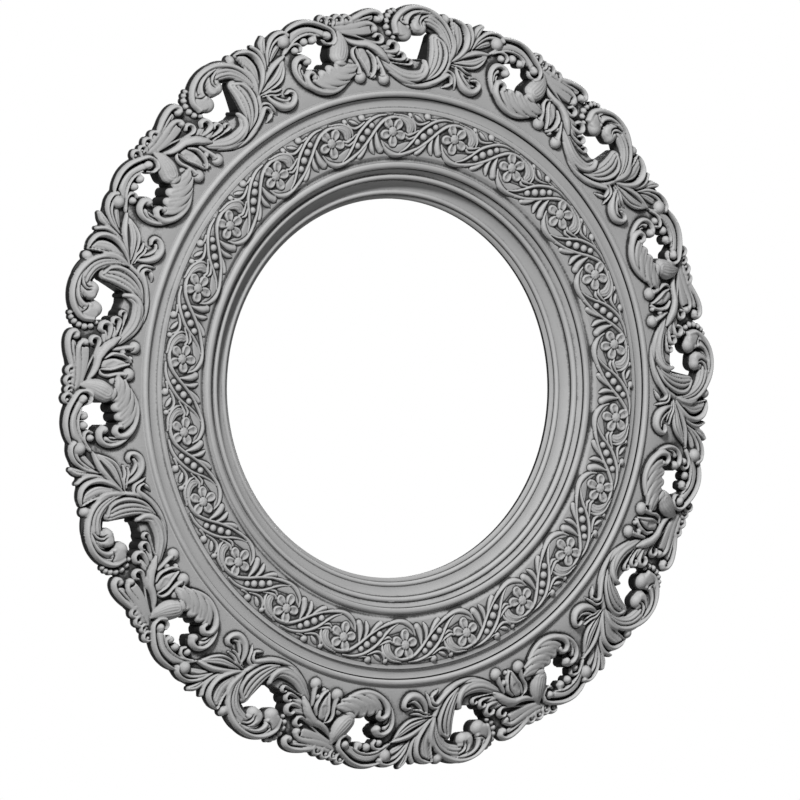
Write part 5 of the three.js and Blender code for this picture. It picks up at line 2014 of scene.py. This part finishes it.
@dataclass
class Hangers:
    """A folded strap with a D-ring of bent wire on each side, and its two screws."""

    across: float = 275.4
    up: float = 159.0
    gap: float = 0.3
    width: float = 18.0
    length: float = 54.0
    thickness: float = 1.5
    bore: float = 1.8
    wire: float = 1.5
    reach: float = 12.0
    leg: float = 6.0
    first: float = 27.0
    pitch: float = 18.0
    corner: float = 4.0
    hole: float = 2.0
    bend: float = 2.4
    slot_turn: float = 25.0
    slot_step: float = 65.0
    slot_side: float = 40.0

    @property
    def outer(self) -> float:
        """The outer radius of the strap's eye."""
        return self.bore + self.thickness

    @property
    def middle(self) -> float:
        """How far the eye's middle lies behind the back plane."""
        return self.gap + self.outer

    def side(self) -> Line:
        """The strap's side outline, as (behind the back plane, above the eye's middle).

        Returns:
            The outline's corners.
        """
        foot = self.outer - self.length
        plate = self.gap + self.thickness
        folded = arc(self.middle, 0, self.outer, -90, 180, 40)
        return [(self.gap, foot), (plate, foot), (plate, -self.outer), *folded]

    def build(self, shop: Workshop, screws: Screws) -> None:
        """Folds the straps, bends the rings and turns the screws.

        Args:
            shop: the workshop.
            screws: the maker of the screws.
        """
        strap, wire = strap_tree(), wire_tree()
        bend = [(-self.reach, 0), *arc(0, -self.leg, self.reach, 180, 360, 20), (self.reach, 0)]
        seat = 2 * self.gap + self.thickness
        for label, hand in (("left", -1), ("right", 1)):
            place = Vector((hand * self.across * MM, 0, self.up * MM))
            name = f"hanger_strap_{label}"
            start = drawing(name, self.side(), bored(self.middle, self.bore))
            values = {
                "Width": self.width * MM, "Length": self.length * MM, "Corner": self.corner * MM,
                "Middle": (self.outer - self.length / 2) * MM, "Hole": self.hole * MM,
                "First": -self.first * MM, "Pitch": self.pitch * MM, "Finish": shop.material(STEEL),
            }
            piece = grow(f"folded_{name}", start, strap, values)
            piece.data.transform(Matrix.Translation(place))
            shop.mount(piece, STEEL, "frame", name)
            name = f"hanger_ring_{label}"
            values = {"Corner": self.bend * MM, "Wire": self.wire * MM, "Finish": shop.material(STEEL)}
            piece = grow(f"bent_{name}", drawing(name, bend), wire, values)
            piece.data.transform(Matrix.Translation(place + Vector((0, self.middle * MM, 0))))
            shop.mount(piece, STEEL, name, name)
            for i in range(2):
                down = Vector((0, 0, -(self.first + i * self.pitch) * MM))
                turn = self.slot_turn + self.slot_step * i + self.slot_side * hand
                screws.build(shop, f"hanger_screw_{label}_{i + 1}", STEEL, place + down, seat, turn)


@dataclass
class WallPads:
    """Felt discs that keep the frame's foot off the wall."""

    radius: float = 318.0
    angle: float = 150.0
    size: float = 8.9
    thickness: float = 3.0
    gap: float = 0.3
    path: float = 0.03
    steps: int = 48

    def build(self, shop: Workshop, tree: NodeTree) -> None:
        """Punches the two pads.

        Args:
            shop: the workshop.
            tree: the tree for turned work.
        """
        low, rim = -self.gap, self.size
        high = low - self.thickness
        corners = [
            (0, low), (rim - 0.2, low), (rim, low - 0.3), (rim - 0.1, high + 0.7), (rim - 0.5, high + 0.2),
            (rim - 1.2, high), (0, high),
        ]
        values = {"Radius": self.path, "Steps": self.steps, "Finish": shop.material(WOOL_FELT)}
        for label, hand in (("left", -1), ("right", 1)):
            name = f"wall_pad_{label}"
            start = profile_mesh(name, corners, self.path, closed=False)
            piece = grow(f"felt_{name}", start, tree, values)
            piece.data.transform(Matrix.Translation(on_ring(self.radius, hand * self.angle)))
            shop.mount(piece, WOOL_FELT, "frame", name)


@dataclass(frozen=True)
class Lamp:
    """A distant soft lamp: where it stands, how strong it is and its size in degrees."""

    name: str
    place: Triple
    strength: float
    size: float

    def hang(self) -> None:
        """Adds the lamp to the scene."""
        data = bpy.data.lights.new(self.name, "SUN")
        data.energy = self.strength
        data.angle = math.radians(self.size)
        lamp = put(self.name, data)
        lamp.rotation_mode = "QUATERNION"
        lamp.rotation_quaternion = (-Vector(self.place)).to_track_quat("-Z", "Y")


@dataclass
class Studio:
    """A pale floor, soft lamps, a white surround and the camera."""

    azimuth: float = -31.82
    picture_width: float = 0.944
    aim_across: float = 0.01914
    aim_up: float = -0.01384
    aim_depth: float = -0.00413
    distance: float = 3.0
    lamps: tuple[Lamp, ...] = (
        Lamp("key", (-0.54, -0.6, 0.6), 4.3, 10),
        Lamp("fill", (-0.35, -1.0, 0.1), 0.25, 60),
        Lamp("back", (0.6, 0.75, 0.25), 2.6, 40),
    )
    ambient: float = 0.01
    floor_reach: float = 6.0
    floor_dull: float = 0.3
    floor_pale: float = 0.9
    floor_glow: float = 0.3

    def build(self, low: Vector) -> None:
        """Sets up everything round the object.

        Args:
            low: the object's lowest corner.
        """
        self.camera()
        for lamp in self.lamps:
            lamp.hang()
        self.surround()
        self.floor(low.z)

    def camera(self) -> None:
        """Looks at the front from the left, level with the middle."""
        turn = math.radians(self.azimuth)
        ahead = Vector((-math.sin(turn), math.cos(turn), 0))
        right = Vector((math.cos(turn), math.sin(turn), 0))
        data = bpy.data.cameras.new("camera")
        data.type = "ORTHO"
        data.ortho_scale = self.picture_width
        camera = put("camera", data)
        aim = Vector((0, self.aim_depth, self.aim_up)) + right * self.aim_across
        camera.location = aim - ahead * self.distance
        camera.rotation_mode = "QUATERNION"
        camera.rotation_quaternion = ahead.to_track_quat("-Z", "Y")
        bpy.context.scene.camera = camera

    def surround(self) -> None:
        """White where it is seen or mirrored, and a low even light elsewhere."""
        world = bpy.data.worlds.new("surround")
        nodes = Nodes(emptied(world))
        seen = nodes.rays("Camera", "Glossy", "Transmission")
        dim = nodes.add("ShaderNodeBackground", {"Color": (1, 1, 1, 1), "Strength": self.ambient})
        white = nodes.add("ShaderNodeBackground", {"Color": (1, 1, 1, 1), "Strength": 1.0})
        mixed = nodes.add("ShaderNodeMixShader", {0: seen, 1: dim.outputs[0], 2: white.outputs[0]})
        nodes.add("ShaderNodeOutputWorld", {"Surface": mixed.outputs[0]})
        bpy.context.scene.world = world

    def floor(self, height: float) -> None:
        """A floor under the frame that is pale where it is seen and duller where it only lights.

        Args:
            height: the floor's height.
        """
        far = self.floor_reach
        corners = [(x * far, y * far, height) for x, y in ((-1, -1), (1, -1), (1, 1), (-1, 1))]
        mesh = bpy.data.meshes.new("floor")
        mesh.from_pydata(corners, [], [(0, 1, 2, 3)])
        floor = put("floor", mesh)
        material = bpy.data.materials.new("pale floor")
        nodes = Nodes(emptied(material))
        dull, pale = (
            nodes.add("ShaderNodeBsdfDiffuse", {"Color": (tone, tone, tone, 1)}).outputs[0]
            for tone in (self.floor_dull, self.floor_pale)
        )
        glow = nodes.add("ShaderNodeEmission", {"Color": (1, 1, 1, 1), "Strength": self.floor_glow})
        lit = nodes.add("ShaderNodeAddShader", {0: pale, 1: glow.outputs[0]})
        seen = nodes.rays("Camera", "Glossy")
        mixed = nodes.add("ShaderNodeMixShader", {0: seen, 1: dull, 2: lit.outputs[0]})
        nodes.add("ShaderNodeOutputMaterial", {"Surface": mixed.outputs[0]})
        mesh.materials.append(material)
        floor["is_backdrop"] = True


def main() -> None:
    """Builds the frame's sub-assemblies in order."""
    logging.basicConfig(level=logging.INFO, format="%(message)s")
    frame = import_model()
    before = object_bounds()
    bpy.context.scene.view_settings.view_transform = "Standard"
    shop = Workshop()
    turned = turned_tree()
    TurnedMouldings().build(shop, turned)
    FlowerFrieze().build(shop)
    CarvedBorder().build(shop)
    Core().build(shop, frame)
    screws = Screws()
    TurnButtons().build(shop, screws)
    Hangers().build(shop, screws)
    WallPads().build(shop, turned)
    Studio().build(before[0])


if __name__ == "__main__":
    main()
